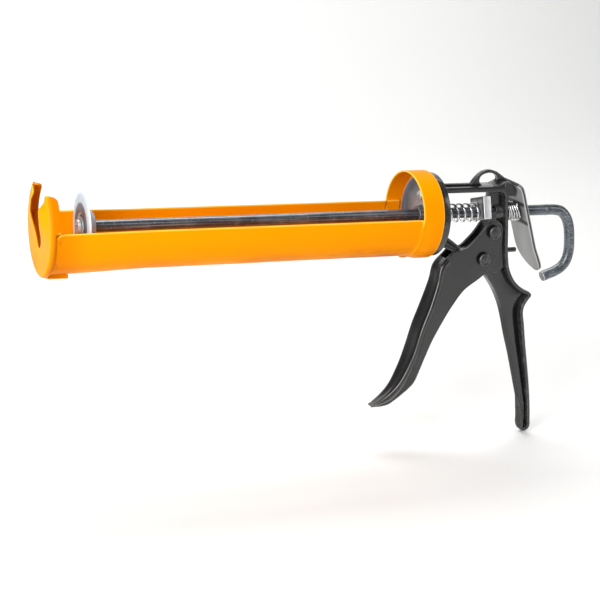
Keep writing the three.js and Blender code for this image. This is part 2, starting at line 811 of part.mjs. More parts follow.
function trigger() {
  const place = (shares) => fromShares(shares, -pivotBehind, -pivotDrop, triggerReach, triggerDrop);
  const front = place(triggerFrontShares);
  const lobe = aroundPin(-pusherPinBehind, -pusherPinDrop, triggerLobeRadius, 0, 140, 8);
  const outline = [...front, ...place(triggerBackShares), ...lobe, ...place(triggerCrestShares)];
  const cheeks = sideProfile(outline, -triggerHalfWidth, triggerHalfWidth, triggerBevel);
  const finger = sideProfile(outline, -triggerSwellHalfWidth, triggerSwellHalfWidth, triggerBevel);
  const farFront = -pivotBehind - triggerReach;
  const below = block(
    [farFront, -triggerSwellHalfWidth - overrun, -triggerTipDrop - overrun],
    [overrun, triggerSwellHalfWidth + overrun, -pivotDrop - pinHeadRadius - overrun],
  );
  const body = join(cheeks, finger.intersect(below));
  const innerHalfWidth = triggerHalfWidth - triggerWall;
  const inset = new THREE.Vector2(triggerFrontWall, 0);
  const wallLine = front.slice(0, -solidTipPoints).map((point) => point.clone().add(inset));
  wallLine[0].lerp(wallLine[1], wallTopShare);
  const openTop = -pusherPinDrop + triggerLobeRadius + overrun;
  const openSide = [
    new THREE.Vector2(overrun, wallLine.at(-1).y),
    new THREE.Vector2(overrun, openTop),
    new THREE.Vector2(farFront, openTop),
    new THREE.Vector2(farFront, wallLine[0].y),
  ];
  const channel = sideProfile([...wallLine, ...openSide], -innerHalfWidth, innerHalfWidth);
  const bores = [[pivotBehind, pivotDrop], [pusherPinBehind, pusherPinDrop]].map(
    ([behind, drop]) => barAlongY(
      pinRadius + seatGap, -triggerHalfWidth - overrun, triggerHalfWidth + overrun, -behind, -drop,
    ),
  );
  const tipStart = triggerTipDrop - triggerTipHalfWidth;
  const side = triggerWidthShares.map(([wide, down]) => new THREE.Vector2(
    wide * triggerSwellHalfWidth, -pivotDrop - down * triggerDrop,
  ));
  const outlineAcross = new THREE.Shape([
    new THREE.Vector2(triggerHalfWidth + overrun, overrun), ...side,
  ]);
  outlineAcross.absarc(0, -tipStart, triggerTipHalfWidth, 0, -Math.PI, true);
  side.reverse().forEach((point) => outlineAcross.lineTo(-point.x, point.y));
  outlineAcross.lineTo(-triggerHalfWidth - overrun, overrun);
  const trim = frontProfile(outlineAcross, farFront, overrun);
  return cut(body.intersect(trim), channel, ...bores);
}

function headedPin(behind, drop) {
  const headStart = triggerHalfWidth + seatGap;
  const headEnd = headStart + pinHeadThickness;
  const shank = barAlongY(pinRadius, -headStart, headStart, -behind, -drop);
  const heads = [[headStart - seatGap / 2, headEnd], [-headEnd, -headStart + seatGap / 2]].map(
    ([start, end]) => barAlongY(pinHeadRadius, start, end, -behind, -drop, pinHeadFacets),
  );
  return join(shank, ...heads);
}

function pusherFork() {
  const noseX = -drivePlateBack + seatGap + hornNoseRadius;
  const noseZ = -pusherPinDrop + hornNoseHeight;
  const floor = -pusherPinDrop + forkFloorHeight;
  const nose = aroundPin(noseX, noseZ, hornNoseRadius, 0, 180, 8);
  const heel = aroundPin(-pusherPinBehind, -pusherPinDrop, forkRadius, 200, 380, 12);
  const body = sideProfile([
    ...heel,
    new THREE.Vector2(noseX + hornNoseRadius, -rodBossRadius - forkBossClearance),
    new THREE.Vector2(noseX + hornNoseRadius, floor),
    new THREE.Vector2(noseX - hornNoseRadius, floor),
  ], -forkHalfWidth, forkHalfWidth);
  const hornOutline = [
    ...nose,
    new THREE.Vector2(noseX - hornNoseRadius, floor - castLap),
    new THREE.Vector2(noseX + hornNoseRadius, floor - castLap),
  ];
  const horns = [[hornInner, hornOuter], [-hornOuter, -hornInner]].map(
    ([nearY, farY]) => sideProfile(hornOutline, nearY, farY),
  );
  const bore = barAlongY(
    pinRadius + seatGap, -triggerHalfWidth, triggerHalfWidth, -pusherPinBehind, -pusherPinDrop,
  );
  return cut(join(body, ...horns), bore);
}

// Release lever: a leaning strip, its rod slot and the lip that hooks over the frame
function releaseLever() {
  const stripEnd = -leverTipDrop + leverTipLength;
  const face = new THREE.Shape();
  face.moveTo(-leverHalfWidth, leverTop);
  face.lineTo(-leverHalfWidth, stripEnd);
  face.absellipse(0, stripEnd, leverHalfWidth, leverTipLength, Math.PI, 2 * Math.PI, false);
  face.lineTo(leverHalfWidth, leverTop);
  const back = leverThickness * Math.hypot(1, leverSlope);
  const farBack = leverAt(-leverTipDrop) + back + overrun;
  const outline = frontProfile(face, 0, farBack);
  const strip = sideProfile([
    new THREE.Vector2(leverAt(-leverTipDrop), -leverTipDrop),
    new THREE.Vector2(leverAt(-leverTipDrop) + back, -leverTipDrop),
    new THREE.Vector2(leverAt(leverTop) + back, leverTop),
    new THREE.Vector2(leverAt(leverTop), leverTop),
  ], -leverHalfWidth, leverHalfWidth).intersect(outline);
  const lipRoot = leverTop - overrun;
  const lip = sideProfile([
    new THREE.Vector2(leverAt(lipRoot), lipRoot),
    new THREE.Vector2(leverAt(lipRoot) + back, lipRoot),
    new THREE.Vector2(leverAt(leverTop) + back, leverTop),
    new THREE.Vector2(lipCrest, lipTop),
    new THREE.Vector2(lipFront + runningGap, lipTop),
    new THREE.Vector2(lipFront, lipUnderside),
    new THREE.Vector2(leverAt(leverTop), leverTop),
  ], -leverHalfWidth, leverHalfWidth);
  const slotShape = new THREE.Shape();
  slotShape.absellipse(0, 0, leverRodSlotHalfWidth, leverRodSlotHalfLength, 0, 2 * Math.PI, false);
  const rodSlot = frontProfile(slotShape, 0, farBack);
  return cut(join(strip, lip), rodSlot);
}

function leverStopPin() {
  return barAlongX(stopPinRadius, stopPinRoot, stopPinReach, 0, -stopPinDrop);
}

// A spring as one unbroken wire: straight along the rod at each end, wound between
function coilSpring({ radius, wire, curls, startAt, endAt, turn }) {
  const count = Math.round(curls * curlSteps);
  const path = Array.from({ length: count + 1 }, (_, step) => {
    const angle = turn + (step * 2 * Math.PI) / curlSteps;
    const y = radius * Math.cos(angle);
    const z = radius * Math.sin(angle);
    const first = startAt(z) + seatGap + wire;
    const last = endAt(z) - seatGap - wire;
    return new THREE.Vector3(first + ((last - first) * step) / count, y, z);
  });
  const lead = new THREE.Vector3(wire, 0, 0);
  path.unshift(path[0].clone().sub(lead));
  path.push(path.at(-1).clone().add(lead));
  const tangents = path.map((point, index) => {
    const before = path[Math.max(index - 1, 0)];
    const after = path[Math.min(index + 1, path.length - 1)];
    return after.clone().sub(before).normalize();
  });
  const vertices = [];
  path.forEach((point, index) => {
    const outward = new THREE.Vector3(0, point.y, point.z).normalize();
    const side = tangents[index].clone().cross(outward).normalize();
    const normal = side.clone().cross(tangents[index]).normalize();
    for (let corner = 0; corner < wireSides; corner += 1) {
      const angle = (corner * 2 * Math.PI) / wireSides;
      vertices.push(...point.clone()
        .addScaledVector(normal, (wire / 2) * Math.cos(angle))
        .addScaledVector(side, (wire / 2) * Math.sin(angle))
        .toArray());
    }
  });
  const faces = [];
  for (let ring = 0; ring < path.length - 1; ring += 1) {
    for (let corner = 0; corner < wireSides; corner += 1) {
      const next = (corner + 1) % wireSides;
      const low = ring * wireSides;
      const high = low + wireSides;
      faces.push(low + corner, low + next, high + corner);
      faces.push(low + next, high + next, high + corner);
    }
  }
  const lastRing = (path.length - 1) * wireSides;
  for (let corner = 1; corner < wireSides - 1; corner += 1) {
    faces.push(0, corner + 1, corner);
    faces.push(lastRing, lastRing + corner, lastRing + corner + 1);
  }
  const geometry = new THREE.BufferGeometry();
  geometry.setAttribute('position', new THREE.Float32BufferAttribute(vertices, 3));
  geometry.setIndex(faces);
  geometry.computeVertexNormals();
  return { geometry, gap: leastGap(path, wire) };
}

// The least gap between one curl of a wire and the next, measured between its points
function leastGap(path, wire) {
  let least = Infinity;
  path.forEach((point, index) => {
    path.slice(index + curlSteps / 2).forEach((other) => {
      least = Math.min(least, point.distanceTo(other) - wire);
    });
  });
  return least;
}

const mainSpring = coilSpring({
  radius: mainSpringRadius,
  wire: mainSpringWire,
  curls: mainSpringCurls,
  startAt: () => flangeBack,
  endAt: () => -drivePlateBack - drivePlateThickness,
  turn: 0,
});
const brakeSpring = coilSpring({
  radius: brakeSpringRadius,
  wire: brakeSpringWire,
  curls: brakeSpringCurls,
  startAt: wallAt,
  endAt: leverAt,
  turn: 0,
});
console.log('least gap in main spring, mm', mainSpring.gap.toFixed(2));
console.log('least gap in brake spring, mm', brakeSpring.gap.toFixed(2));

addPiece('frame_casting', frameCasting(), 'blackCasting');
addPiece('rear_plate', rearPlate(), 'zincSteel');
screwPlaces.forEach((place, index) => {
  addPiece(`plate_screw_${index + 1}`, plateScrew(place), 'zincSteel');
});
addPiece('rod_bush', rodBush(), 'rodSteel');
addPiece('trigger_pivot_pin', headedPin(pivotBehind, pivotDrop), 'blackCasting');
addPiece('lever_stop_pin', leverStopPin(), 'blackCasting');
addPiece('main_spring', mainSpring.geometry, 'springSteel');
addPiece('brake_spring', brakeSpring.geometry, 'springSteel');
addPiece('rear_collar', rearCollar(), 'yellowPaint');
addPiece('cradle', cradle(), 'yellowPaint');
addPiece('front_yoke', frontYoke(), 'yellowPaint');
addPiece('push_rod', pushRod(), 'rodSteel');
addPiece('piston_cup', pistonCup(), 'zincSteel');
addPiece('piston_disc', pistonDisc(), 'zincSteel');
addPiece('piston_washer', pistonWasher(), 'zincSteel');
addPiece('piston_screw', pistonScrew(), 'zincSteel');
addPiece('drive_plate', drivePlate(), 'zincSteel');
addPiece('trigger', trigger(), 'blackCasting');
addPiece('pusher_pin', headedPin(pusherPinBehind, pusherPinDrop), 'blackCasting');
addPiece('pusher_fork', pusherFork(), 'zincSteel');
addPiece('release_lever', releaseLever(), 'leverSteel');

export default gun;
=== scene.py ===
# %% [markdown]
# A caulking gun, seen from its left. The solid parts arrive as a finished frame: every part is
# already in its place, in metres, with +X back along the push rod and +Z up. This lesson
# dresses that frame: it gives each part its rounded edges, its wound wire, its paint or its
# bare metal, and then sets a camera and lights. Nothing here moves a part from its place.

# %% Load the frame
import math

import bpy
import numpy as np
from mathutils import Matrix, Vector


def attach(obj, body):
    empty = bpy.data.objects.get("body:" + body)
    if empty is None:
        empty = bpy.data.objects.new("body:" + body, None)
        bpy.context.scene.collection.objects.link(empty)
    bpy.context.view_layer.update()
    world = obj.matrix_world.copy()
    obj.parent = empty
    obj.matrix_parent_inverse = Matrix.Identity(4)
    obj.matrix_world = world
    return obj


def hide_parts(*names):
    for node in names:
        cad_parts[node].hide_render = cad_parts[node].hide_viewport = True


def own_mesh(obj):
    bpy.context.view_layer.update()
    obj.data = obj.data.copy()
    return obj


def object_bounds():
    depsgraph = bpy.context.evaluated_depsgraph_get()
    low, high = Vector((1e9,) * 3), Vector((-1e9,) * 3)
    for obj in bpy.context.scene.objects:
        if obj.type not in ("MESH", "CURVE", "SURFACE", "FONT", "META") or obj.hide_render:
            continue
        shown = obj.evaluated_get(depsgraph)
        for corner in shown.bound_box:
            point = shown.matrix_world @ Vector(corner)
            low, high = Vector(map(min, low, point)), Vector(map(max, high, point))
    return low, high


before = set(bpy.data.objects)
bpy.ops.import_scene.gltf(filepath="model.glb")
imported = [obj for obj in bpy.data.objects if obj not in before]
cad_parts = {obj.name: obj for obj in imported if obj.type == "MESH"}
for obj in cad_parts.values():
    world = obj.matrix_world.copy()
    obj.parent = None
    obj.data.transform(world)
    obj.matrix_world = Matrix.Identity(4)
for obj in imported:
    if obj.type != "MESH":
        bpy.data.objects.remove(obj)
SOLID_BOX = [list(corner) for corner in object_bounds()]
MM = 0.001
print("solids loaded:", len(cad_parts))

# %% [markdown]
# The camera comes first. It was fitted to the photograph: a long lens, a little above the gun
# and a little to the front of it, held slightly out of level. Four angles and a distance give
# the whole pose, so they are kept as they are and the matrix is worked out from them.

# %% Camera
CAMERA_TURN = math.radians(-23.995)
CAMERA_RISE = math.radians(17.379)
CAMERA_ROLL = math.radians(4.152)
CAMERA_PLACE = Vector((-0.49572, -0.79959, 0.22132))
CAMERA_LENS = 88.13
GUN_MIDDLE = Vector((-0.14, 0, -0.05))


def camera_axes(turn, rise, roll):
    """Right, up and back of a camera that looks level along +Y before it is turned and raised."""
    flat = math.cos(rise)
    back = Vector((math.sin(turn) * flat, -math.cos(turn) * flat, math.sin(rise)))
    level = Vector((math.cos(turn), math.sin(turn), 0.0))
    above = back.cross(level)
    right = level * math.cos(roll) + above * math.sin(roll)
    return right, back.cross(right), back


def place_camera():
    """A camera whose matrix columns are its own right, up and back."""
    right, up, back = camera_axes(CAMERA_TURN, CAMERA_RISE, CAMERA_ROLL)
    data = bpy.data.cameras.new("gun_camera")
    data.lens = CAMERA_LENS
    camera = bpy.data.objects.new("gun_camera", data)
    columns = Matrix((right, up, back)).transposed().to_4x4()
    camera.matrix_world = Matrix.Translation(CAMERA_PLACE) @ columns
    bpy.context.scene.collection.objects.link(camera)
    bpy.context.scene.camera = camera


place_camera()
print("camera stands", round((CAMERA_PLACE - GUN_MIDDLE).length, 3), "m away")

# %% [markdown]
# The studio has a soft key light from above, a wide tall strip in front of the gun that draws
# the long highlight on the trigger, a narrower strip at the rear, and a lamp over the far side.
# A fifth lamp lights the backdrop, and the surround is even and weak, for the bare metal.

# %% Studio
FLOOR_LEVEL = SOLID_BOX[0][2] - 0.004


def soft_light(name, place, aim, wide, high, power):
    """A rectangle of light at place that faces aim."""
    data = bpy.data.lights.new(name, "AREA")
    data.shape = "RECTANGLE"
    data.size = wide
    data.size_y = high
    data.energy = power
    lamp = bpy.data.objects.new(name, data)
    lamp.location = place
    lamp.rotation_euler = (Vector(aim) - Vector(place)).to_track_quat("-Z", "Y").to_euler()
    bpy.context.scene.collection.objects.link(lamp)


soft_light("key", (-0.55, -0.75, 1.05), (-0.12, 0, -0.03), 0.9, 0.7, 5.2)
soft_light("front_strip", (-0.95, -0.62, 0.33), (-0.08, 0, -0.06), 0.5, 0.9, 12.5)
soft_light("rear_strip", (0.75, -0.55, 0.35), (-0.05, 0, -0.05), 0.3, 0.9, 2.6)
soft_light("top", (-0.1, 0.35, 0.9), (-0.12, 0, 0), 0.8, 0.5, 6.5)
soft_light("backdrop", (0, 0.75, 1.1), (0, 1.6, 0.1), 2.2, 0.5, 12)


def studio_surround(strength):
    """An even white world of that strength, so that no side of the bare metal mirrors black."""
    world = bpy.data.worlds.new("studio")
    world.use_nodes = True
    background = world.node_tree.nodes["Background"]
    background.inputs["Color"].default_value = (1, 1, 1, 1)
    background.inputs["Strength"].default_value = strength
    bpy.context.scene.world = world


studio_surround(0.16)
bpy.context.scene.view_settings.view_transform = "Standard"

# %% [markdown]
# Materials are written as sums. The class below wraps one output socket of the node tree, so
# that "2 * grain + 0.1" adds the Math nodes by itself. Everything that is not a Math node comes
# from one method of the finish, which takes the node's type, its settings and its inputs.

# %% Shader sums


class Link:
    """One output socket. A sum, difference or product with it adds a Math node."""

    def __init__(self, finish, socket):
        self.finish = finish
        self.socket = socket

    def math(self, operation, *values):
        inputs = dict(enumerate(values))
        node = self.finish.node("ShaderNodeMath", {"operation": operation}, inputs)
        return Link(self.finish, node.outputs[0])

    def __add__(self, other):
        return self.math("ADD", self, other)

    def __radd__(self, other):
        return self.math("ADD", other, self)

    def __sub__(self, other):
        return self.math("SUBTRACT", self, other)

    def __rsub__(self, other):
        return self.math("SUBTRACT", other, self)

    def __mul__(self, other):
        return self.math("MULTIPLY", self, other)

    def __rmul__(self, other):
        return self.math("MULTIPLY", other, self)

    def band(self, low, high):
        """0 at low, 1 at high, and eased between them."""
        settings = {"interpolation_type": "SMOOTHSTEP"}
        sockets = {"Value": self, "From Min": low, "From Max": high}
        node = self.finish.node("ShaderNodeMapRange", settings, sockets)
        return Link(self.finish, node.outputs["Result"])


class Finish:
    """A material with one Principled shader, and the ways to add nodes in front of it."""

    def __init__(self, name, **constants):
        self.material = bpy.data.materials.new(name)
        self.material.use_nodes = True
        self.tree = self.material.node_tree
        self.shader = self.tree.nodes["Principled BSDF"]
        for socket, value in constants.items():
            self.set(self.shader.inputs[socket.replace("_", " ")], value)

    def set(self, socket, value):
        if isinstance(value, Link):
            self.tree.links.new(value.socket, socket)
        else:
            socket.default_value = value

    def node(self, kind, settings=None, inputs=None):
        """Adds a node: its settings first, then the values or links of its sockets."""
        node = self.tree.nodes.new(kind)
        for name, value in (settings or {}).items():
            setattr(node, name, value)
        for name, value in (inputs or {}).items():
            self.set(node.inputs[name], value)
        return node

    def place(self, stretch=(1, 1, 1), turn=(0, 0, 0)):
        """Object coordinates, in metres, each axis multiplied by its share of stretch."""
        source = Link(self, self.node("ShaderNodeTexCoord").outputs["Object"])
        inputs = {"Vector": source, "Scale": stretch, "Rotation": turn}
        return Link(self, self.node("ShaderNodeMapping", None, inputs).outputs[0])

    def axis(self, name):
        """The place on the object's X, Y or Z axis, in metres."""
        node = self.node("ShaderNodeSeparateXYZ", None, {0: self.place()})
        return Link(self, node.outputs[name])

    def noise(self, per_metre, detail=3.0, roughness=0.55, where=None):
        """Clouds with that many swells to the metre, from 0 to 1."""
        inputs = {"Scale": per_metre, "Detail": detail, "Roughness": roughness,
                  "Vector": where or self.place()}
        return Link(self, self.node("ShaderNodeTexNoise", None, inputs).outputs["Fac"])

    def brushed(self, stretch):
        """Noise drawn out into lines, with its number of swells to the metre along each axis."""
        return self.noise(1.0, 4.0, 0.6, self.place(stretch))

    def cells(self, per_metre):
        """The distance to the nearest of many scattered points, in cells."""
        inputs = {"Scale": per_metre, "Vector": self.place()}
        return Link(self, self.node("ShaderNodeTexVoronoi", None, inputs).outputs["Distance"])

    def mark(self, name):
        """An attribute that every mesh here carries: rim is 1 on tight outer curves, where things
        wear and where the finishes paint an edge highlight, and ends is 1 where the surface faces
        along the rod."""
        node = self.node("ShaderNodeAttribute", {"attribute_name": name})
        return Link(self, node.outputs["Fac"])

    def blend(self, share, first, second):
        """first where share is 0, second where it is 1. Both are colours or links to colours."""
        inputs = {0: share, 6: first, 7: second}
        node = self.node("ShaderNodeMix", {"data_type": "RGBA"}, inputs)
        return Link(self, node.outputs[2])

    def relief(self, height, depth, before=None):
        """A bump of that depth in metres on top of an earlier one."""
        inputs = {"Height": height, "Distance": depth, "Strength": 1.0}
        if before:
            inputs["Normal"] = before
        return Link(self, self.node("ShaderNodeBump", None, inputs).outputs["Normal"])

    def finish(self, **links):
        for socket, value in links.items():
            self.set(self.shader.inputs[socket.replace("_", " ")], value)
        return self.material


def grey(value, warmth=0.0):
    """A grey as a linear colour, a little warmer or cooler."""
    return (value * (1 + warmth), value, value * (1 - warmth), 1.0)


print("shader sums ready")

# %% [markdown]
# The paint is an orange-yellow, sprayed and baked on pressed steel. Real sheet is never quite
# flat, and thick paint has a soft orange-peel skin, so the finish has a faint broad tone, a
# fine skin relief, a paler line along the rounded edges that is a painted highlight, and a few
# specks. Faces that look along the gun are painted yellower as painted light, the paint is
# deeper near the yoke, and low down, mostly at the rear, darker amber patches are painted shade.

# %% Yellow paint
PAINT_BODY = (0.88, 0.285, 0.0, 1.0)
PAINT_DEEP = (0.66, 0.175, 0.0, 1.0)
# painted light: the colour of faces that look along the rod
PAINT_FACE_LIGHT = (0.80, 0.355, 0.0, 1.0)
# painted highlight: a paler yellow along the rounded edges
PAINT_EDGE_HIGHLIGHT = (1.0, 0.60, 0.07, 1.0)
# painted shade: the darker amber low on the cradle and collar
PAINT_LOW_SHADE = (0.55, 0.115, 0.0, 1.0)
PAINT_SPECK = (0.30, 0.10, 0.01, 1.0)
AMBER_HEIGHTS = (-0.0225, -0.0125)
AMBER_PLACES = (-0.145, -0.085)
DEEP_PLACES = (-0.301, -0.279)
SKIN_DEPTH, PAINT_GRAIN, CAST_GRAIN, BRUSH_DEPTH = 0.00035, 0.000035, 0.00004, 0.00002


def yellow_paint():
    paint = Finish("yellow_paint", Coat_Roughness=0.1, IOR=1.08, Coat_IOR=1.2)
    broad = paint.noise(14, 2.0, 0.5, paint.place((0.35, 1, 1))).band(0.42, 0.75)
    runs = paint.noise(60, 3.0, 0.6, paint.place((0.12, 1, 1))).band(0.55, 0.8)
    patches = paint.noise(55, 3.0, 0.6, paint.place((0.4, 1, 1))).band(0.42, 0.58)
    low = 1 - paint.axis("Z").band(*AMBER_HEIGHTS)
    rear = paint.axis("X").band(*AMBER_PLACES)
    front = 1 - paint.axis("X").band(*DEEP_PLACES)
    # painted shade: darker patches low down, mostly at the rear
    low_shade = low * (0.35 + 0.65 * rear) * patches
    speck = 1 - paint.cells(420).band(0.05, 0.085)
    rare = paint.noise(25, 1.0).band(0.56, 0.62)
    tone = paint.blend(broad * 0.45 + runs * 0.2 + front * 0.8, PAINT_BODY, PAINT_DEEP)
    # painted light: faces that look along the rod are painted yellower
    tone = paint.blend(paint.mark("ends") * 0.8, tone, PAINT_FACE_LIGHT)
    tone = paint.blend(low_shade * 0.95, tone, PAINT_LOW_SHADE)
    # painted highlight: the rounded edges are painted paler
    tone = paint.blend(paint.mark("rim") * 0.75, tone, PAINT_EDGE_HIGHLIGHT)
    tone = paint.blend(speck * rare * 0.75, tone, PAINT_SPECK)
    skin = paint.relief(paint.noise(650, 2.0), PAINT_GRAIN)
    waves = paint.relief(paint.noise(45, 1.0), SKIN_DEPTH, skin)
    rough = 0.27 + 0.16 * paint.noise(90, 4.0) + 0.12 * paint.mark("rim")
    coat = 0.06 - 0.04 * speck
    return paint.finish(Base_Color=tone, Roughness=rough, Coat_Weight=coat, Normal=waves)


# %% [markdown]
# The castings are aluminium under a black satin coat. The skin of a casting is slightly grainy
# and its flats are slightly wavy. Handling rubs the coat grey in patches on the rounded edges,
# and every rounded edge is also painted a little paler, a painted highlight. The machined faces
# that look along the rod are duller.

# %% Black casting
CAST_BLACK = grey(0.005, -0.02)
CAST_DUSTY = grey(0.011, -0.01)
# the paler grey of rubbed coat and dust, also used for the painted edge highlight
CAST_RUBBED_AND_LIT = grey(0.10)


def black_casting():
    cast = Finish("black_casting", IOR=1.2, Coat_Roughness=0.19, Coat_IOR=1.62)
    rim, ends = cast.mark("rim"), cast.mark("ends")
    cloud = cast.noise(38, 4.0, 0.6)
    grain = cast.noise(1500, 3.0, 0.7)
    pits = 1 - cast.cells(1100).band(0.10, 0.30)
    tone = cast.blend(cloud.band(0.35, 0.75), CAST_BLACK, CAST_DUSTY)
    # worn patches on the rounded edges, plus a painted highlight all along them
    worn_and_lit = rim * cast.noise(300, 4.0, 0.65).band(0.46, 0.66) * 0.5 + rim * 0.15
    scuffs = cast.noise(900, 2.0, 0.5, cast.place((0.12, 1, 0.35), (0, 0.5, 0))).band(0.69, 0.74)
    lint = 1 - cast.cells(230).band(0.02, 0.035)
    tone = cast.blend(worn_and_lit, tone, CAST_RUBBED_AND_LIT)
    tone = cast.blend(scuffs * 0.10 + lint * 0.35, tone, CAST_RUBBED_AND_LIT)
    skin = cast.relief(grain + 0.6 * pits, CAST_GRAIN)
    waves = cast.relief(cast.noise(70, 2.0), SKIN_DEPTH, skin)
    rough = 0.30 + 0.13 * cloud + 0.05 * grain - 0.08 * worn_and_lit + 0.2 * ends
    coat = (1.0 - 0.5 * worn_and_lit) * (1 - 0.8 * ends)
    return cast.finish(Base_Color=tone, Roughness=rough, Coat_Weight=coat, Normal=waves)


# %% [markdown]
# Bare metal is mostly reflection, so its look comes from how the surface was made: the zinc
# plate is bright with faint frosty cells, the drawn rod is dark with long light lines, partly
# drawn marks and partly painted reflection, and a few bright rubs, the spring wire is polished,
# and the lever strip is brushed, with a darker patch below the rod.

# %% Bare metals
HUB_EASE = 0.0007
HUB_TONE = (0.018, 0.034, 0.055, 1)
PATCH_HEIGHTS = ((-0.0115, -0.0095), (-0.0055, -0.004))
PATCH_SIDES = ((-0.010, -0.0085), (0.004, 0.006))


def bright_metal(name, tone, marks_and_reflections, lines, smooth, mottle=0.5, depth=BRUSH_DEPTH, spots=0.3,
                 mirror=1.0, hub=0.0, gloss=0.0):
    """A metal of two tones: stretched noise gives the drawn lines, rounder noise the mottle. A
    dull skin of oxide or zinc lowers mirror, the share that is a metal's reflection, and gloss
    is the weight of a film of oil. The ends of a turned part are darker within hub of the
    rod's axis."""
    metal = Finish(name, Metallic=mirror, Coat_Weight=gloss, Coat_Roughness=0.1)
    drawn = metal.brushed(lines)
    cloud = metal.noise(120, 4.0, 0.6)
    spot = metal.noise(520, 3.0, 0.6).band(0.60, 0.70)
    share = mottle * cloud.band(0.35, 0.7) + 0.45 * drawn.band(0.45, 0.75) + spots * spot
    colour = metal.blend(share, tone, marks_and_reflections)
    if hub:
        inputs = {0: metal.place((0, 1, 1))}
        off_axis = metal.node("ShaderNodeVectorMath", {"operation": "LENGTH"}, inputs)
        inside = 1 - Link(metal, off_axis.outputs["Value"]).band(hub - HUB_EASE, hub + HUB_EASE)
        colour = metal.blend(inside * metal.mark("ends") * 0.85, colour, HUB_TONE)
    # painted highlight: the rounded edges are painted a pale grey
    colour = metal.blend(metal.mark("rim") * 0.5, colour, grey(0.85))
    rough = smooth + 0.16 * cloud + 0.12 * drawn - 0.06 * metal.mark("rim")
    bump = metal.relief(drawn, depth)
    return metal.finish(Base_Color=colour, Roughness=rough, Normal=bump)


def lever_metal():
    """Brushed strip steel, with a darker patch across it below the rod."""
    metal = Finish("lever_steel", Metallic=0.5, Specular_IOR_Level=0.25)
    brushed = metal.brushed((160, 2600, 160))
    cloud = metal.noise(110, 4.0, 0.6)
    across = metal.axis("Y")
    ragged = metal.axis("Z") + 0.006 * cloud
    (bottom, top), (near, far) = PATCH_HEIGHTS, PATCH_SIDES
    patch = ragged.band(*bottom) * (1 - ragged.band(*top))
    inner = across.band(*near) * (1 - across.band(*far))
    share = 0.5 * cloud.band(0.35, 0.7) + 0.3 * brushed + 0.7 * patch * inner
    colour = metal.blend(share, grey(0.06), grey(0.018))
    # painted highlight: the strip's rounded edges are painted paler
    colour = metal.blend(metal.mark("rim") * 0.8, colour, grey(0.55))
    rough = 0.36 + 0.18 * cloud + 0.14 * brushed
    bump = metal.relief(brushed, BRUSH_DEPTH)
    return metal.finish(Base_Color=colour, Roughness=rough, Normal=bump)


def plate_metal():
    """Hardened plate: its faces that look along the rod are dark, and its sheared edges are
    bright.
    """
    metal = Finish("plate_metal", Metallic=0.85)
    brushed = metal.brushed((2400, 300, 300))
    cloud = metal.noise(150, 4.0, 0.6)
    colour = metal.blend(cloud.band(0.35, 0.7) * 0.5 + brushed * 0.3, grey(0.86), grey(0.52))
    colour = metal.blend(metal.mark("ends") * (1 - metal.mark("rim")), colour, grey(0.035))
    rough = 0.30 + 0.2 * cloud + 0.1 * metal.mark("ends")
    bump = metal.relief(brushed, BRUSH_DEPTH)
    return metal.finish(Base_Color=colour, Roughness=rough, Normal=bump)


METALS = {
    "zinc_plate": dict(tone=(0.50, 0.60, 0.72, 1), marks_and_reflections=(0.20, 0.25, 0.31, 1),
                       lines=(260, 900, 900), smooth=0.22, mirror=0.4),
    # screws: a large mottle of near white and near black on a mostly diffuse surface, a painted
    # reflection
    "screw_zinc_painted_reflection": dict(tone=(0.80, 0.92, 1.0, 1), marks_and_reflections=(0.012, 0.02, 0.03, 1),
                       lines=(900, 900, 900), smooth=0.16, mottle=0.75, depth=0.00004,
                       spots=0.6, mirror=0.1, gloss=0.6),
    "disc_zinc": dict(tone=(0.68, 0.80, 0.90, 1), marks_and_reflections=(0.42, 0.53, 0.62, 1),
                      lines=(900, 260, 260), smooth=0.3, mottle=0.25, mirror=0.12, hub=0.0138),
    "dull_plate": dict(tone=(0.10, 0.145, 0.185, 1), marks_and_reflections=(0.05, 0.08, 0.105, 1),
                       lines=(900, 260, 260), smooth=0.42, mirror=0.15),
    # the rod's long light lines are partly drawn marks and partly painted reflection streaks
    "rod_steel": dict(tone=(0.018, 0.023, 0.030, 1), marks_and_reflections=(0.42, 0.47, 0.53, 1),
                      lines=(14, 1600, 1600), smooth=0.2, mottle=0.12, depth=0.00003,
                      spots=0.2, mirror=0.15, gloss=0.7),
    "spring_steel": dict(tone=grey(0.62), marks_and_reflections=grey(0.12), lines=(900, 260, 260),
                         smooth=0.12, mottle=0.3),
}
FINISHES = {make.__name__: make() for make in (plate_metal, yellow_paint, black_casting)}
FINISHES.update({name: bright_metal(name, **values) for name, values in METALS.items()})
FINISHES["lever_steel"] = lever_metal()
print("finishes:", ", ".join(FINISHES))

# %% [markdown]
# A mesh here is one or more shells. A shell is a grid of points with two indices whose faces
# join each point to its neighbours: where an index runs round a ring, the grid closes on
# itself, and an open end is closed by one flat face. Shells that run into each other make one
# piece, the way cast walls do.

# %% Grids of points into meshes


def grid_faces(rows, columns, loop_rows=False, loop_columns=False):
    """The four corner indices of each face of a grid. Rows or columns that loop run round a ring,
    so the last one has faces to the first."""
    r, c = np.meshgrid(np.arange(rows if loop_rows else rows - 1),
                       np.arange(columns if loop_columns else columns - 1), indexing="ij")
    r2, c2 = (r + 1) % rows, (c + 1) % columns
    corners = [r * columns + c, r2 * columns + c, r2 * columns + c2, r * columns + c2]
    return np.stack(corners, axis=-1).reshape(-1, 4)


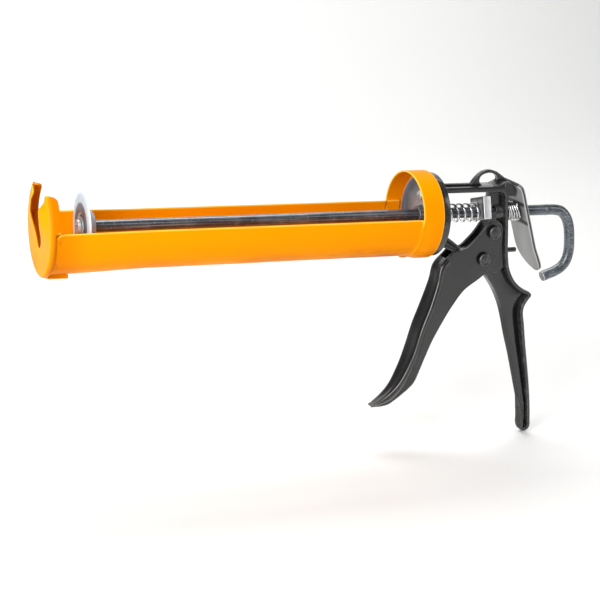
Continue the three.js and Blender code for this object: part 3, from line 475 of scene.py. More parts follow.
def shell(grid, loop_rows=False):
    """A closed surface from a grid, as points and faces that point outwards."""
    rows, columns = grid.shape[:2]
    points = grid.reshape(-1, 3)
    quads = grid_faces(rows, columns, loop_rows, loop_columns=True)
    a, b, c, d = (points[quads[:, k]] for k in range(4))
    volume = np.einsum("ij,ij->", a, np.cross(b, c)) + np.einsum("ij,ij->", a, np.cross(c, d))
    faces = quads.tolist()
    if not loop_rows:
        first, last = points[:columns], points[-columns:]
        volume += fan_volume(first) + fan_volume(last[::-1])
        faces += [list(range(columns)), list(range(len(points) - columns, len(points)))[::-1]]
    if volume < 0:
        faces = [face[::-1] for face in faces]
    return points, faces


def fan_volume(ring):
    """Six times the volume between the origin and a flat ring of points."""
    return np.einsum("j,ij->", ring[0], np.cross(ring[1:-1], ring[2:]))


def joined(shells):
    """The points and faces of several shells as one list of each."""
    starts = np.cumsum([0] + [len(points) for points, _ in shells[:-1]])
    points = np.concatenate([points for points, _ in shells])
    faces = []
    for start, (_, own) in zip(starts.tolist(), shells):
        faces += [[int(i) + start for i in face] for face in own]
    return points, faces


def mesh_object(name, *shells, sharp=38):
    """One object at the origin, in metres from shells in millimetres, smooth up to an angle."""
    points, faces = joined(shells)
    mesh = bpy.data.meshes.new(name)
    mesh.from_pydata((points * MM).tolist(), [], faces)
    mesh.validate()
    piece = bpy.data.objects.new(name, mesh)
    bpy.context.scene.collection.objects.link(piece)
    piece["sharp"] = sharp
    return piece


def open_sheet(name, grid):
    """An object of one sheet of faces, without a thickness and with its edges left open."""
    faces = grid_faces(*grid.shape[:2])
    return mesh_object(name, (grid.reshape(-1, 3), faces.tolist()), sharp=50)


print("grid helpers ready")

# %% [markdown]
# Two operations finish a mesh. Cutting uses Blender's exact Boolean, for holes that a grid
# can't have. The rim attribute says where a surface turns tightly outwards: along each edge
# of the mesh, the change of the normal divided by the length is the curvature, and its mean
# at each point, from a radius of about 2 mm to one of 0.7 mm, becomes a share from 0 to 1. A
# large flat face has none. A second attribute, ends, is 1 where a surface faces along the rod.

# %% Cutting and worn edges


def applied(piece):
    """The mesh of a piece with its modifiers worked in, and the modifiers gone."""
    graph = bpy.context.evaluated_depsgraph_get()
    mesh = bpy.data.meshes.new_from_object(piece.evaluated_get(graph))
    piece.modifiers.clear()
    piece.data = mesh
    return piece


def carved(piece, *tools):
    """A piece with the tools, which are pieces too, cut out of it."""
    for tool in tools:
        cut = piece.modifiers.new("cut", "BOOLEAN")
        cut.operation = "DIFFERENCE"
        cut.solver = "EXACT"
        cut.object = tool
        applied(piece)
        bpy.data.objects.remove(tool)
    return piece


def smoothstep(value, low, high):
    """0 below low, 1 above high, and 3 t^2 - 2 t^3 between."""
    t = np.clip((value - low) / (high - low), 0, 1)
    return t * t * (3 - 2 * t)


def read(collection, name, width):
    """One property of every element of a mesh as an array."""
    values = np.empty(len(collection) * width)
    collection.foreach_get(name, values)
    return values.reshape(-1, width)


def mark_rim(mesh):
    """Writes two attributes at each point: rim, its share of tight outward curvature, and ends,
    how far the surface faces along the rod there."""
    places = read(mesh.vertices, "co", 3) / MM
    normals = read(mesh.vertices, "normal", 3)
    pairs = np.empty(len(mesh.edges) * 2, dtype=np.int32)
    mesh.edges.foreach_get("vertices", pairs)
    a, b = pairs.reshape(-1, 2).T
    along = places[b] - places[a]
    length = np.maximum(np.einsum("ij,ij->i", along, along), 0.04)
    turn = np.einsum("ij,ij->i", normals[b] - normals[a], along) / length
    most = np.zeros(len(places))
    np.maximum.at(most, a, turn)
    np.maximum.at(most, b, turn)
    share = np.clip((most - 0.5) / 0.9, 0, 1)
    sizes = read(mesh.polygons, "loop_total", 1).ravel().astype(int)
    corners = read(mesh.loops, "vertex_index", 1).ravel().astype(int)
    share[corners[np.repeat(sizes > 8, sizes)]] = 0
    ends = smoothstep(abs(normals[:, 0]), 0.75, 0.97)
    for name, values in (("rim", share), ("ends", ends)):
        attribute = mesh.attributes.new(name, "FLOAT", "POINT")
        attribute.data.foreach_set("value", values.astype(np.float32))


def dress(piece, finish, body, *nodes, like=None):
    """Shades a finished piece, gives it its paint or metal, and sets it on its body in place of
    nodes. The argument like is not used."""
    piece.data.shade_smooth()
    piece.data.set_sharp_from_angle(angle=math.radians(piece["sharp"]))
    mark_rim(piece.data)
    piece.data.materials.clear()
    piece.data.materials.append(FINISHES[finish])
    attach(piece, body)
    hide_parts(*nodes)
    print(piece.name, "stands for", ", ".join(nodes), "with", len(piece.data.polygons), "faces")
    return piece


print("finishing helpers ready")

# %% [markdown]
# Most parts of the gun are one of three kinds of surface: an outline with a thickness, such
# as a casting or a strip; a profile turned round an axis, such as a plate or a screw; or a
# round section carried along a path, such as the rod or a spring. Outlines are drawn with a
# few points, and a smooth curve is laid through them.

# %% Curves


def full_turn(count):
    """That many even angles once round."""
    return np.linspace(0, 2 * np.pi, count, endpoint=False)


def unit(vectors):
    """Each vector divided by its length."""
    return vectors / np.maximum(np.linalg.norm(vectors, axis=1, keepdims=True), 1e-9)


def curve_through(points, per_span=8):
    """A Catmull-Rom curve. With p0 to p3 as neighbours and t from 0 to 1 from p1 to p2, the place
    is half of 2 p1 + (p2 - p0) t + (2 p0 - 5 p1 + 4 p2 - p3) t^2 + (3 p1 - p0 - 3 p2 + p3) t^3."""
    p = np.asarray(points, float)
    p = np.vstack([2 * p[0] - p[1], p, 2 * p[-1] - p[-2]])
    t = np.arange(per_span)[None, :, None] / per_span
    p0, p1, p2, p3 = (p[k:len(p) - 3 + k, None, :] for k in range(4))
    bend = (2 * p0 - 5 * p1 + 4 * p2 - p3) * t**2 + (3 * p1 - p0 - 3 * p2 + p3) * t**3
    curve = 0.5 * (2 * p1 + (p2 - p0) * t + bend)
    return np.vstack([curve.reshape(-1, p.shape[1]), p[-2]])


def eased(points, radius, closed=True, steps=4):
    """Each corner p becomes the curve (1-t)^2 a + 2t(1-t) p + t^2 b, where a and b lie radius
    before and after it, or 0.45 of the way to the next corner where that is nearer."""
    p = np.asarray(points, float)
    before, after = np.roll(p, 1, 0) - p, np.roll(p, -1, 0) - p
    lengths = [np.maximum(np.linalg.norm(v, axis=1, keepdims=True), 1e-9) for v in (before, after)]
    radius = np.broadcast_to(np.reshape(radius, (-1, 1)), (len(p), 1))
    a = p + before / lengths[0] * np.minimum(radius, 0.45 * lengths[0])
    b = p + after / lengths[1] * np.minimum(radius, 0.45 * lengths[1])
    t = np.linspace(0, 1, steps + 1)[None, :, None]
    arcs = (1 - t) ** 2 * a[:, None] + 2 * t * (1 - t) * p[:, None] + t**2 * b[:, None]
    if closed:
        return arcs.reshape(-1, p.shape[1])
    return np.vstack([p[:1], arcs[1:-1].reshape(-1, p.shape[1]), p[-1:]])


def evenly(points, spacing, closed=True):
    """Points at even steps along a line of any number of dimensions."""
    p = np.asarray(points, float)
    p = np.vstack([p, p[:1]]) if closed else p
    along = np.concatenate([[0], np.cumsum(np.linalg.norm(np.diff(p, axis=0), axis=1))])
    places = np.linspace(0, along[-1], max(round(along[-1] / spacing), 3) + 1)
    line = np.stack([np.interp(places, along, p[:, k]) for k in range(p.shape[1])], axis=1)
    return line[:-1] if closed else line


def softened(loop, passes=3):
    """A closed loop whose points move to (1 2 1)/4 of their neighbours and themselves."""
    for _ in range(passes):
        loop = 0.25 * np.roll(loop, 1, 0) + 0.5 * loop + 0.25 * np.roll(loop, -1, 0)
    return loop


def outward(loop):
    """Unit normals of a flat closed loop, away from its inside."""
    along = unit(np.roll(loop, -1, 0) - np.roll(loop, 1, 0))
    area = np.sum(loop[:, 0] * np.roll(loop[:, 1], -1) - loop[:, 1] * np.roll(loop[:, 0], -1))
    return np.stack([along[:, 1], -along[:, 0]], axis=1) * np.sign(area)


print("curve helpers ready")

# %% [markdown]
# The three kinds of surface follow. Each is a whole grid at once, and each rounds its own
# edges, because a real edge always catches a line of light.

# %% Slabs, turned parts and bars


def sideways(u, t, v):
    """An outline in X and Z with its thickness across the gun."""
    return np.stack([u, t, v], axis=-1)


def lengthways(u, t, v):
    """An outline in Y and Z with its thickness along the rod."""
    return np.stack([t, u, v], axis=-1)


def slab(loop, low, high, edge=0.6, lip=0.0, sunk=0.0, place=sideways):
    """An outline with a thickness. Its rows run from the middle of one face over the rounded
    edge to the other face: at turn a, the row is inset by edge (1 - sin a) and lies edge
    (1 - cos a) below the face. A lip leaves a raised border round faces that are sunk."""
    turn = np.linspace(0, np.pi / 2, 5)
    inset = np.concatenate([[edge + 0.12], edge * (1 - np.sin(turn))])
    depth = np.concatenate([[0], edge * (1 - np.cos(turn))])
    if sunk:
        inset = np.concatenate([edge + lip + np.array([0.6 * sunk + 0.3, 0.6 * sunk, 0]), inset])
        depth = np.concatenate([[sunk, sunk, 0], depth])
    low, high = (np.broadcast_to(side, len(loop)) for side in (low, high))
    rows = loop[None] - outward(loop)[None] * inset[:, None, None]
    rows = np.concatenate([rows, rows[::-1]])
    thickness = np.concatenate([low + depth[:, None], (high - depth[:, None])[::-1]])
    return shell(place(rows[..., 0], thickness, rows[..., 1]))


def turned(profile, centre=(0, 0), columns=72, loop=False, along="x"):
    """A profile of radius and place, carried round an axis along X or Y through centre:
    the place stays, and the other two are centre + radius cos a and radius sin a."""
    profile = np.asarray(profile, float)
    a = full_turn(columns)[None]
    radius, place = profile[:, :1], profile[:, 1:] + 0 * a
    first, second = centre[0] + radius * np.cos(a), centre[1] + radius * np.sin(a)
    order = (place, first, second) if along == "x" else (first, place, second)
    return shell(np.stack(order, axis=-1), loop)


def bar(path, radius, reference, sides):
    """A round section on a path: path + radius (n cos a + b sin a), where n is the reference
    made square to the path, and b is square to both. The radius may be a grid of its own."""
    path = np.asarray(path, float)
    tangent = unit(np.gradient(path, axis=0))
    n = np.broadcast_to(reference, path.shape)
    n = unit(n - tangent * np.sum(n * tangent, axis=1, keepdims=True))
    b = np.cross(tangent, n)
    a = full_turn(sides)[None, :, None]
    radius = np.broadcast_to(radius, (len(path), sides))[..., None]
    return shell(path[:, None] + radius * (n[:, None] * np.cos(a) + b[:, None] * np.sin(a)))


print("surface helpers ready")

# %% [markdown]
# The push rod is one round bar: straight from the piston to behind the frame, then bent into
# a hook. Its ends are chamfered. Behind the lever it was crimped in a press so that it can't
# be pulled out: two ears stand proud above and below, and the sides are dented.

# %% Push rod
ROD_RADIUS = 3.5
ROD_NOSE = -278.8
HOOK = [(38, 0), (44, -1.3), (48.6, -5.5), (51.6, -11.5), (53.3, -19.4), (54.2, -28),
        (53.2, -35), (50, -39.8), (45, -42.8), (39.9, -44.6), (35.3, -46.2)]
CRIMP = 32.0
CRIMP_REACH = 1.1


def rod_path():
    """The rod's middle line: a straight part with close steps at the crimp, then the hook."""
    end = np.array([0, 0.04, 0.12, 0.25, 0.42, 0.6])
    straight = np.concatenate([ROD_NOSE + end, np.linspace(-275, 26, 60),
                               np.linspace(28, 35.5, 31)])
    hook = curve_through(HOOK, 9)
    inwards = hook[-2] - hook[-1]
    last = hook[-1] + inwards / np.linalg.norm(inwards) * end[::-1, None]
    line = np.vstack([np.stack([straight, 0 * straight], axis=1), hook[:-2], last])
    return np.stack([line[:, 0], 0 * line[:, 0], line[:, 1]], axis=1), end


def push_rod():
    """The radius is 3.5 less a round chamfer at each end; at the crimp exp(-((x - place) / 1.1)^2)
    raises it where the section's sine is near 1 and lowers it where the cosine is."""
    path, end = rod_path()
    a = full_turn(32)[None]
    chamfer = 0.5 * (1 - np.sqrt(1 - (1 - end / end[-1]) ** 2))
    radius = np.full(len(path), ROD_RADIUS)
    radius[:len(end)] -= chamfer
    radius[-len(end):] -= chamfer[::-1]
    on_bar = (path[:, 2] == 0) * np.exp(-(((path[:, 0] - CRIMP) / CRIMP_REACH) ** 2))
    ears = 0.16 * np.abs(np.sin(a)) ** 10 - 0.55 * np.abs(np.cos(a)) ** 6
    return bar(path, radius[:, None] + on_bar[:, None] * ears, (0, 1, 0), 32)


dress(mesh_object("bent_rod", push_rod()), "rod_steel", "rod", "push_rod")

# %% [markdown]
# The springs are round wire wound on the rod. The first and last coil of a compression spring
# are closed, so that it stands square, and the coils between are open.

# %% Springs
CLOSED_PITCH = 1.04
MAIN_START, MAIN_END = -54.8, -19.5
SMALL_START, SMALL_END = 0.35, 9.85
LEVER_LEAN = 0.35


def wound_wire(radius, wire, first, last, curls, start, leans=(0, 0)):
    """A helix (x, R cos a, R sin a). Its pitch is 1.04 wires at both ends and eases to the open
    pitch between, and x leans with the height by a share of its own at each end."""
    turn = np.linspace(0, curls, round(curls * 36))
    is_open = smoothstep(turn, 0.55, 1.15) * (1 - smoothstep(turn, curls - 1.15, curls - 0.55))
    free = (last - first - wire) - CLOSED_PITCH * wire * curls
    climb = np.cumsum(CLOSED_PITCH * wire + is_open * free / np.mean(is_open) / curls)
    share = (climb - climb[0]) / (climb[-1] - climb[0])
    a = start + 2 * np.pi * turn
    y, z = radius * np.cos(a), radius * np.sin(a)
    x = (1 - share) * (first + wire / 2 + leans[0] * z) + share * (last - wire / 2 + leans[1] * z)
    outwards = np.stack([0 * a, np.cos(a), np.sin(a)], axis=1)
    thick = np.full((len(a), 1), wire / 2)
    thick[[0, -1]] *= 0.8
    return bar(np.stack([x, y, z], axis=1), thick, outwards, 14)


long = wound_wire(5.6, 1.5, MAIN_START, MAIN_END, 8, 2.2)
main = dress(mesh_object("main_coil", long), "spring_steel", "frame", "main_spring")
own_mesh(main)
small = wound_wire(5.7, 1.2, SMALL_START, SMALL_END, 5, 0.4, (-0.121, -LEVER_LEAN))
brake = dress(mesh_object("brake_coil", small), "spring_steel", "frame", "brake_spring")
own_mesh(brake)

# %% [markdown]
# The piston is a stack on the rod's nose: a zinc disc with a curled edge and a dished middle,
# a stamped cup behind it with six dimples that stiffen it, a washer, and a cross-recess screw.

# %% Piston
DISC_FACE = -281.1
CUP_FACE = -279.6
SHANK_RADIUS = 1.9


def piston_disc():
    """A closed profile of radius and place, with its corners rounded, turned round the rod."""
    face, back = DISC_FACE, DISC_FACE + 1.2
    profile = [(2.2, face + 0.8), (7.4, face + 0.8), (8.2, face), (18.2, face),
               (19.9, face + 0.55), (19.9, back), (18.8, back), (8.6, back), (7.4, back + 0.8),
               (2.2, back + 0.8)]
    radii = [0.1, 0.5, 0.5, 1.2, 0.4, 0.3, 0.3, 0.5, 0.5, 0.1]
    return turned(eased(profile, radii), columns=128, loop=True)


def piston_cup():
    """A turned cup; cos 6a presses its sloping wall in and out where the wall is half way back."""
    back = CUP_FACE + 5.6
    profile = eased([(3.8, back - 1.2), (6.8, back - 1.2), (11, CUP_FACE + 0.2), (13.2, CUP_FACE),
                     (13.4, CUP_FACE + 0.7), (8, back), (3.8, back)], 0.6)
    points, faces = turned(profile, columns=96, loop=True)
    middle = np.exp(-(((points[:, 0] - CUP_FACE - 2.6) / 1.5) ** 2))
    press = 1 - 0.09 * middle * np.clip(np.cos(6 * np.arctan2(points[:, 2], points[:, 1])), 0, 1)
    points[:, 1:] *= press[:, None]
    return points, faces


def recessed_head(face, back, end, radius, y=0.0, z=0.0, turn=0.3):
    """A domed screw head on a polar grid: x = face + 0.35 (r / R)^2, and deeper by a smooth step
    inside a cross, where the smaller of the two distances to its arms is under their width. A
    shank runs from the back of the head to its end."""
    r = np.concatenate([[0.05], np.linspace(0.3, radius - 0.35, 22)])
    a = full_turn(96)
    grid_r, grid_a = np.meshgrid(r, a, indexing="ij")
    p, q = grid_r * np.cos(grid_a + turn), grid_r * np.sin(grid_a + turn)
    arm = (1 - smoothstep(np.minimum(abs(p), abs(q)), 0.11 * radius, 0.2 * radius))
    cross = arm * (1 - smoothstep(grid_r, 0.5 * radius, 0.62 * radius))
    x = face + 0.35 * (grid_r / radius) ** 2 + 0.45 * (back - face) * cross
    ring = np.array([(radius - 0.12, face + 0.46), (radius, face + 0.75), (radius, back),
                     (SHANK_RADIUS, back), (SHANK_RADIUS, end)])
    rows = np.repeat(ring[:, None], len(a), axis=1)
    grid_r, x = np.vstack([grid_r, rows[..., 0]]), np.vstack([x, rows[..., 1]])
    grid_a = np.repeat(a[None], len(x), axis=0)
    return shell(np.stack([x, y + grid_r * np.cos(grid_a), z + grid_r * np.sin(grid_a)], axis=-1))


washer = eased([(2.2, -281.5), (5.8, -281.5), (5.8, -280.6), (2.2, -280.6)], 0.25)
dress(mesh_object("disc", piston_disc()), "disc_zinc", "rod", "piston_disc", like="zinc_plate")
dress(mesh_object("cup", piston_cup()), "zinc_plate", "rod", "piston_cup")
dress(mesh_object("nose_washer", turned(washer, loop=True)),
      "screw_zinc_painted_reflection", "rod", "piston_washer", like="zinc_plate")
dress(mesh_object("nose_screw", recessed_head(-283.9, -281.8, -270.8, 4.2)),
      "screw_zinc_painted_reflection", "rod", "piston_screw", like="zinc_plate")

# %% [markdown]
# The rear plate closes the bay: a pressed disc whose middle is set back, held by four small
# screws, with the rod's bush in its centre.

# %% Rear plate, screws and bush
PLATE_FACE = -62.0
DISH_FACE = -60.7
SCREW_CIRCLE = 12.1
FIRST_SCREW = math.radians(77.6)


def rear_plate():
    """A closed profile turned round the rod: a rim, a step down to the dish, and a bore."""
    profile = [(5.9, DISH_FACE), (20.4, DISH_FACE), (21.5, PLATE_FACE + 0.25), (22.3, PLATE_FACE),
               (25.4, PLATE_FACE), (25.4, PLATE_FACE + 1.4), (22.4, PLATE_FACE + 1.4),
               (21.6, DISH_FACE + 1.4), (5.9, DISH_FACE + 1.4)]
    return turned(eased(profile, 0.55), columns=128, loop=True)


def plate_screws():
    """Four heads a quarter turn apart, each a piece of its own."""
    for index in range(4):
        a = FIRST_SCREW + index * math.pi / 2
        y, z = SCREW_CIRCLE * math.cos(a), SCREW_CIRCLE * math.sin(a)
        head = recessed_head(-62.3, -61.0, -56, 3.1, y, z, turn=index)
        dress(mesh_object(f"small_screw_{index + 1}", head, sharp=30),
              "screw_zinc_painted_reflection", "frame", f"plate_screw_{index + 1}", like="zinc_plate")


bush = eased([(3.9, -63.7), (5.1, -63.7), (5.5, -63.3), (5.5, -55.1), (3.9, -55.1)], 0.3)
dress(mesh_object("dished_plate", rear_plate()),
      "dull_plate", "frame", "rear_plate", like="zinc_plate")
dress(mesh_object("bush", turned(bush, columns=48, loop=True)), "rod_steel", "frame", "rod_bush")
plate_screws()

# %% [markdown]
# The cradle is half a pipe, rolled from sheet and opened a little towards the yoke. It is
# drawn as a closed section, outer arc out and inner arc back, carried along the gun, so that
# the sheet has a real thickness and round edges. Spot welds leave small dimples near the yoke.

# %% Cradle
CRADLE_START, CRADLE_END = -301.7, -62.9
SHEET = 0.9
EDGE_HEIGHT = 3.1
ACROSS = 121
WELDS = [(-298.6, -2.0), (-299.6, -17.0), (-66.5, -12.0)]
WELD_DEPTH, WELD_SPREAD = 0.6, 1.3


def cradle_radius(x):
    """27.2 at the front, 25.7 from 58 on, and 26.6 under the collar, with very slight waves."""
    mouth = 27.2 - 1.5 * np.clip((x - CRADLE_START) / 58, 0, 1)
    waves = 0.05 * np.sin(x / 17) + 0.035 * np.sin(x / 7.3 + 1)
    return mouth + waves * smoothstep(x, -295, -280) + 0.9 * smoothstep(x, -73.8, -71.8)


def cradle():
    """Rows along the gun and columns round the sheet's section. The edge height is 3.1, less
    4 - sqrt(16 - (4 - d)^2) within 4 of the front. Each weld presses in a dimple of depth
    0.6 exp(-r^2 / 1.3), and the sheet thins towards its edges, which rounds them."""
    front = np.array([0, 0.08, 0.3, 0.7, 1.2, 1.6, 2, 2.4, 2.8, 3.2, 3.6, 4, 4.5, 5, 5.5, 6, 7, 8,
                      9.5])
    x = np.concatenate([CRADLE_START + front, np.linspace(-290, -76, 56),
                        np.linspace(-74, -63.2, 25), [-62.98, CRADLE_END]])
    close = np.clip(4 - (x - CRADLE_START), 0, 4)
    height = EDGE_HEIGHT - (4 - np.sqrt(16 - close**2))
    radius = cradle_radius(x)
    lift = np.arcsin(height / radius)[:, None]
    share = 0.5 - 0.5 * np.cos(np.linspace(0, np.pi, ACROSS))[None]
    share = 0.35 * share + 0.65 * np.linspace(0, 1, ACROSS)[None]
    a = lift - (np.pi + 2 * lift) * share
    outer = np.repeat(radius[:, None], ACROSS, axis=1)
    place, height = x[:, None], outer * np.sin(a)
    outer = outer - sum(
        WELD_DEPTH * np.exp(-(((place - weld_x) ** 2 + (height - weld_z) ** 2) / WELD_SPREAD))
        for weld_x, weld_z in WELDS)
    nip = 0.28 * np.exp(-np.arange(ACROSS) / 0.7)
    nip = nip + nip[::-1]
    to_front, to_back = (place - CRADLE_START) / 0.3, (CRADLE_END - place) / 0.1
    inside = np.minimum(1, to_front) * np.minimum(1, to_back)
    thin = np.minimum(0.32, nip + 0.3 * (1 - inside))
    out, back = outer - thin, outer - SHEET + thin
    polar = np.concatenate([out, back[:, ::-1]], axis=1)
    a = np.concatenate([a, a[:, ::-1]], axis=1)
    place = np.repeat(x[:, None], polar.shape[1], axis=1)
    return shell(np.stack([place, polar * np.cos(a), polar * np.sin(a)], axis=-1))


dress(mesh_object("half_pipe", cradle(), sharp=50), "yellow_paint", "cradle", "cradle")

# %% [markdown]
# The collar is a ring rolled from the same sheet. Its lower half is welded to the cradle, so
# there its front rim is drawn down smoothly into the cradle's surface. A stamped knuckle
# stands out under the weld.

# %% Collar
COLLAR_FACE, COLLAR_BACK = -72.3, -58.2
LIP_BACK = -59.3


def collar():
    """A ring: its closed profile turned round the rod. Below, the outer wall's radius is less by
    0.35, and by 1.12 more in front, each times a smooth step in the height."""
    profile = [(27.0, COLLAR_FACE), (28.0, COLLAR_FACE), (28.0, COLLAR_BACK),
               (27.05, COLLAR_BACK), (27.05, LIP_BACK), (22.6, LIP_BACK), (22.6, LIP_BACK - 1),
               (27.0, LIP_BACK - 1)]
    fine = evenly(eased(profile, [0.3, 0.3, 0.4, 0.3, 0.1, 0.3, 0.3, 0.5]), 0.28)
    points, faces = turned(fine, columns=192, loop=True)
    radius = np.hypot(points[:, 1], points[:, 2])
    low = 1 - smoothstep(points[:, 2], -2.0, 5.0)
    front = 1 - smoothstep(points[:, 0], COLLAR_FACE, COLLAR_FACE + 8)
    wall = smoothstep(radius, 26.5, 27.0) * (1.12 * low * front + 0.35 * low)
    points[:, 1:] *= ((radius - wall) / radius)[:, None]
    return points, faces


def knuckle():
    """A low oval bump under the collar's front rim: an ellipsoid of 3.6 by 2.6 by 1.9."""
    a = np.linspace(0.02, np.pi - 0.02, 24)[:, None]
    b = full_turn(40)[None]
    x = -70.6 + 3.6 * np.cos(a) + 0 * b
    y, z = 2.6 * np.sin(a) * np.cos(b), -26.2 + 1.9 * np.sin(a) * np.sin(b)
    return shell(np.stack([x, y, z], axis=-1))


dress(mesh_object("welded_collar", collar(), knuckle(), sharp=50),
      "yellow_paint", "cradle", "rear_collar")

# %% [markdown]
# The yoke is one pressed sheet: a face with a keyhole slot, a rounded shoulder, a rim, and two
# ears that hold the nozzle's sides. The sheet is a strip between two curves, the slot's edge
# and the outer circle, and the rows of its grid run from the slot over the face and the
# shoulder to the rim. The lower rim steps in to fit inside the cradle.

# %% Yoke
YOKE_FACE = -305.7
YOKE_RADIUS = 28.6
SLOT = [(15.9, 22.0), (15.1, 21.3), (12.8, 18.0), (10.8, 14.5), (9.8, 11.8), (10.5, 9.6),
        (11.1, 7.0), (9.4, 2.3), (7.5, -3.0), (5.6, -7.0), (3.4, -10.4), (0, -11.8)]
EAR_TOP = math.radians(54.2)
PRESSED = [(1.7, -14.8, 0.5, 1.1), (0.0, -13.5, 0.25, 0.5)]
EAR_ROUND = 4.7
EAR_DEPTH = 6.2
LEAN = 3.0
SHEET_WALL, SHEET_EDGE = 1.15, 0.28
BAND_TURN = 0.345


def yoke_edges():
    """The slot's edge as an even line from ear to ear, and the outer angle that faces each point:
    its own angle near the bottom, and evenly spread angles near the ears, mixed by exp(-u^2)."""
    side = curve_through(SLOT, 8)
    slot = np.vstack([side, (side * [-1, 1])[-2::-1]])
    slot = evenly(slot, 0.5, closed=False)
    share = np.linspace(0, 1, len(slot))
    own = np.unwrap(np.arctan2(slot[:, 1], slot[:, 0]))
    even = EAR_TOP - (np.pi + 2 * EAR_TOP) * share
    mix = np.exp(-(((share - 0.5) / 0.32) ** 2))
    return slot, even * (1 - mix) + own * mix


# radius and depth of the rows from the shoulder to the end of the rim, below and on an ear
RIM_BELOW = np.array([[28.2, 28.55, 28.6, 28.4, 28.0, 27.35, 26.2, 25.9, 25.9],
                      [0.55, 1.3, 2.1, 2.8, 3.4, 3.95, 4.4, 9.0, 13.3]])
RIM_EAR = np.array([[28.2, 28.55, 28.6, 28.5, 28.35, 28.2, 28.0, 27.9, 27.8],
                    [0.55, 1.3, 2.1, 2.9, 3.6, 4.3, 5.0, 5.6, 6.2]])


def yoke_sheet():
    """The sheet as one open grid. The face leans forward round the upper slot: x loses 3.0 times
    a step of the height from -1/3 to 1/3, which an ear's step lowers to a fifth, and one of the
    share of the way to the shoulder. An ear ends 6.2 back, less 4.7 - sqrt(4.7^2 - (4.7 - d)^2)
    at a distance d under 4.7 from its top."""
    slot, angle = yoke_edges()
    circle = np.stack([np.cos(angle), np.sin(angle)], axis=1)
    share = np.concatenate([[0, 0.02, 0.06], 0.06 + 0.94 * np.linspace(0.08, 1, 14)])
    share = share[:, None, None]
    depth = np.concatenate([[0.45, 0.12, 0], np.zeros(14)])
    flat = slot[None] * (1 - share) + 27.4 * circle[None] * share
    depth = np.repeat(depth[:, None], len(slot), axis=1)
    up = smoothstep(YOKE_RADIUS * circle[:, 1], 2.6, 3.8)[None]
    near = EAR_ROUND - YOKE_RADIUS * np.abs(EAR_TOP - np.minimum(angle, EAR_TOP))
    far = EAR_ROUND - YOKE_RADIUS * np.abs(angle + np.pi + EAR_TOP)
    close = np.clip(np.maximum(near, far), 0, EAR_ROUND)
    short = 1 - (EAR_ROUND - np.sqrt(EAR_ROUND**2 - close**2)) / EAR_DEPTH
    rim = RIM_BELOW[..., None] * (1 - up) + RIM_EAR[..., None] * up
    rim_depth = rim[1] * (1 - up * (1 - short))
    grid = np.concatenate([flat, rim[0][..., None] * circle[None]])
    depth = np.concatenate([depth, rim_depth])
    for y, z, deep, wide in PRESSED:
        depth = depth + deep * np.exp(-((grid[..., 0] - y) ** 2 + (grid[..., 1] - z) ** 2) / wide)
    rise = smoothstep(grid[..., 1] / YOKE_RADIUS, -0.333, 0.333)
    way = np.concatenate([share.ravel(), np.ones(RIM_EAR.shape[1])])[:, None]
    rise = rise * (1 - 0.8 * smoothstep(grid[..., 1] / YOKE_RADIUS, 0.45, 0.66))
    x = YOKE_FACE + depth - LEAN * rise * (1 - smoothstep(way, 0, 0.95))
    return np.stack([x, grid[..., 0], grid[..., 1]], axis=-1)


def thickened(piece, wall, soft):
    """Solidify towards the inside, then a narrow Bevel on the cut edges."""
    solid = piece.modifiers.new("wall", "SOLIDIFY")
    solid.thickness = wall * MM
    solid.offset = -1
    bevel = piece.modifiers.new("soft", "BEVEL")
    bevel.width = soft * MM
    bevel.segments = 3
    bevel.limit_method = "ANGLE"
    bevel.angle_limit = math.radians(60)
    return applied(piece)


def yoke_tab():
    """The reinforcing band under the yoke: an arc section turned from -20 to 20 degrees about the
    lowest point, on a profile that rises from the flange to a radius of 29.6."""
    profile = eased([(26.6, 1.9), (29.5, 3.7), (29.6, 15.4), (27.3, 15.4), (27.3, 4.4),
                     (26.6, 3.0)], 0.4)
    a = np.linspace(-BAND_TURN, BAND_TURN, 40)
    pinch = 1 - 0.012 * smoothstep(abs(a), 0.31, BAND_TURN)
    radius = profile[None, :, 0] * pinch[:, None]
    x = YOKE_FACE + np.repeat(profile[None, :, 1], len(a), axis=0)
    a = a[:, None]
    return shell(np.stack([x, radius * np.sin(a), -radius * np.cos(a)], axis=-1))


yoke = thickened(open_sheet("pressed_yoke", yoke_sheet()), SHEET_WALL, SHEET_EDGE)
dress(yoke, "yellow_paint", "cradle", "front_yoke")
dress(mesh_object("yoke_band", yoke_tab()), "yellow_paint", "cradle", "front_yoke")
foremost = (YOKE_FACE + 0.2) * MM
front = [p for p in yoke.data.polygons if p.center.x < foremost and p.center.z < -0.015]
print("the yoke's face looks forward:", bool(front) and all(p.normal.x < 0 for p in front[:20]))

# %% [markdown]
# A bent strip or a tapering web isn't flat, so it is drawn as a rounded box section that is
# carried between two lines: the section reaches from one line to the other, and across the
# gun by a half width that may change on the way.

# %% Webs between two lines


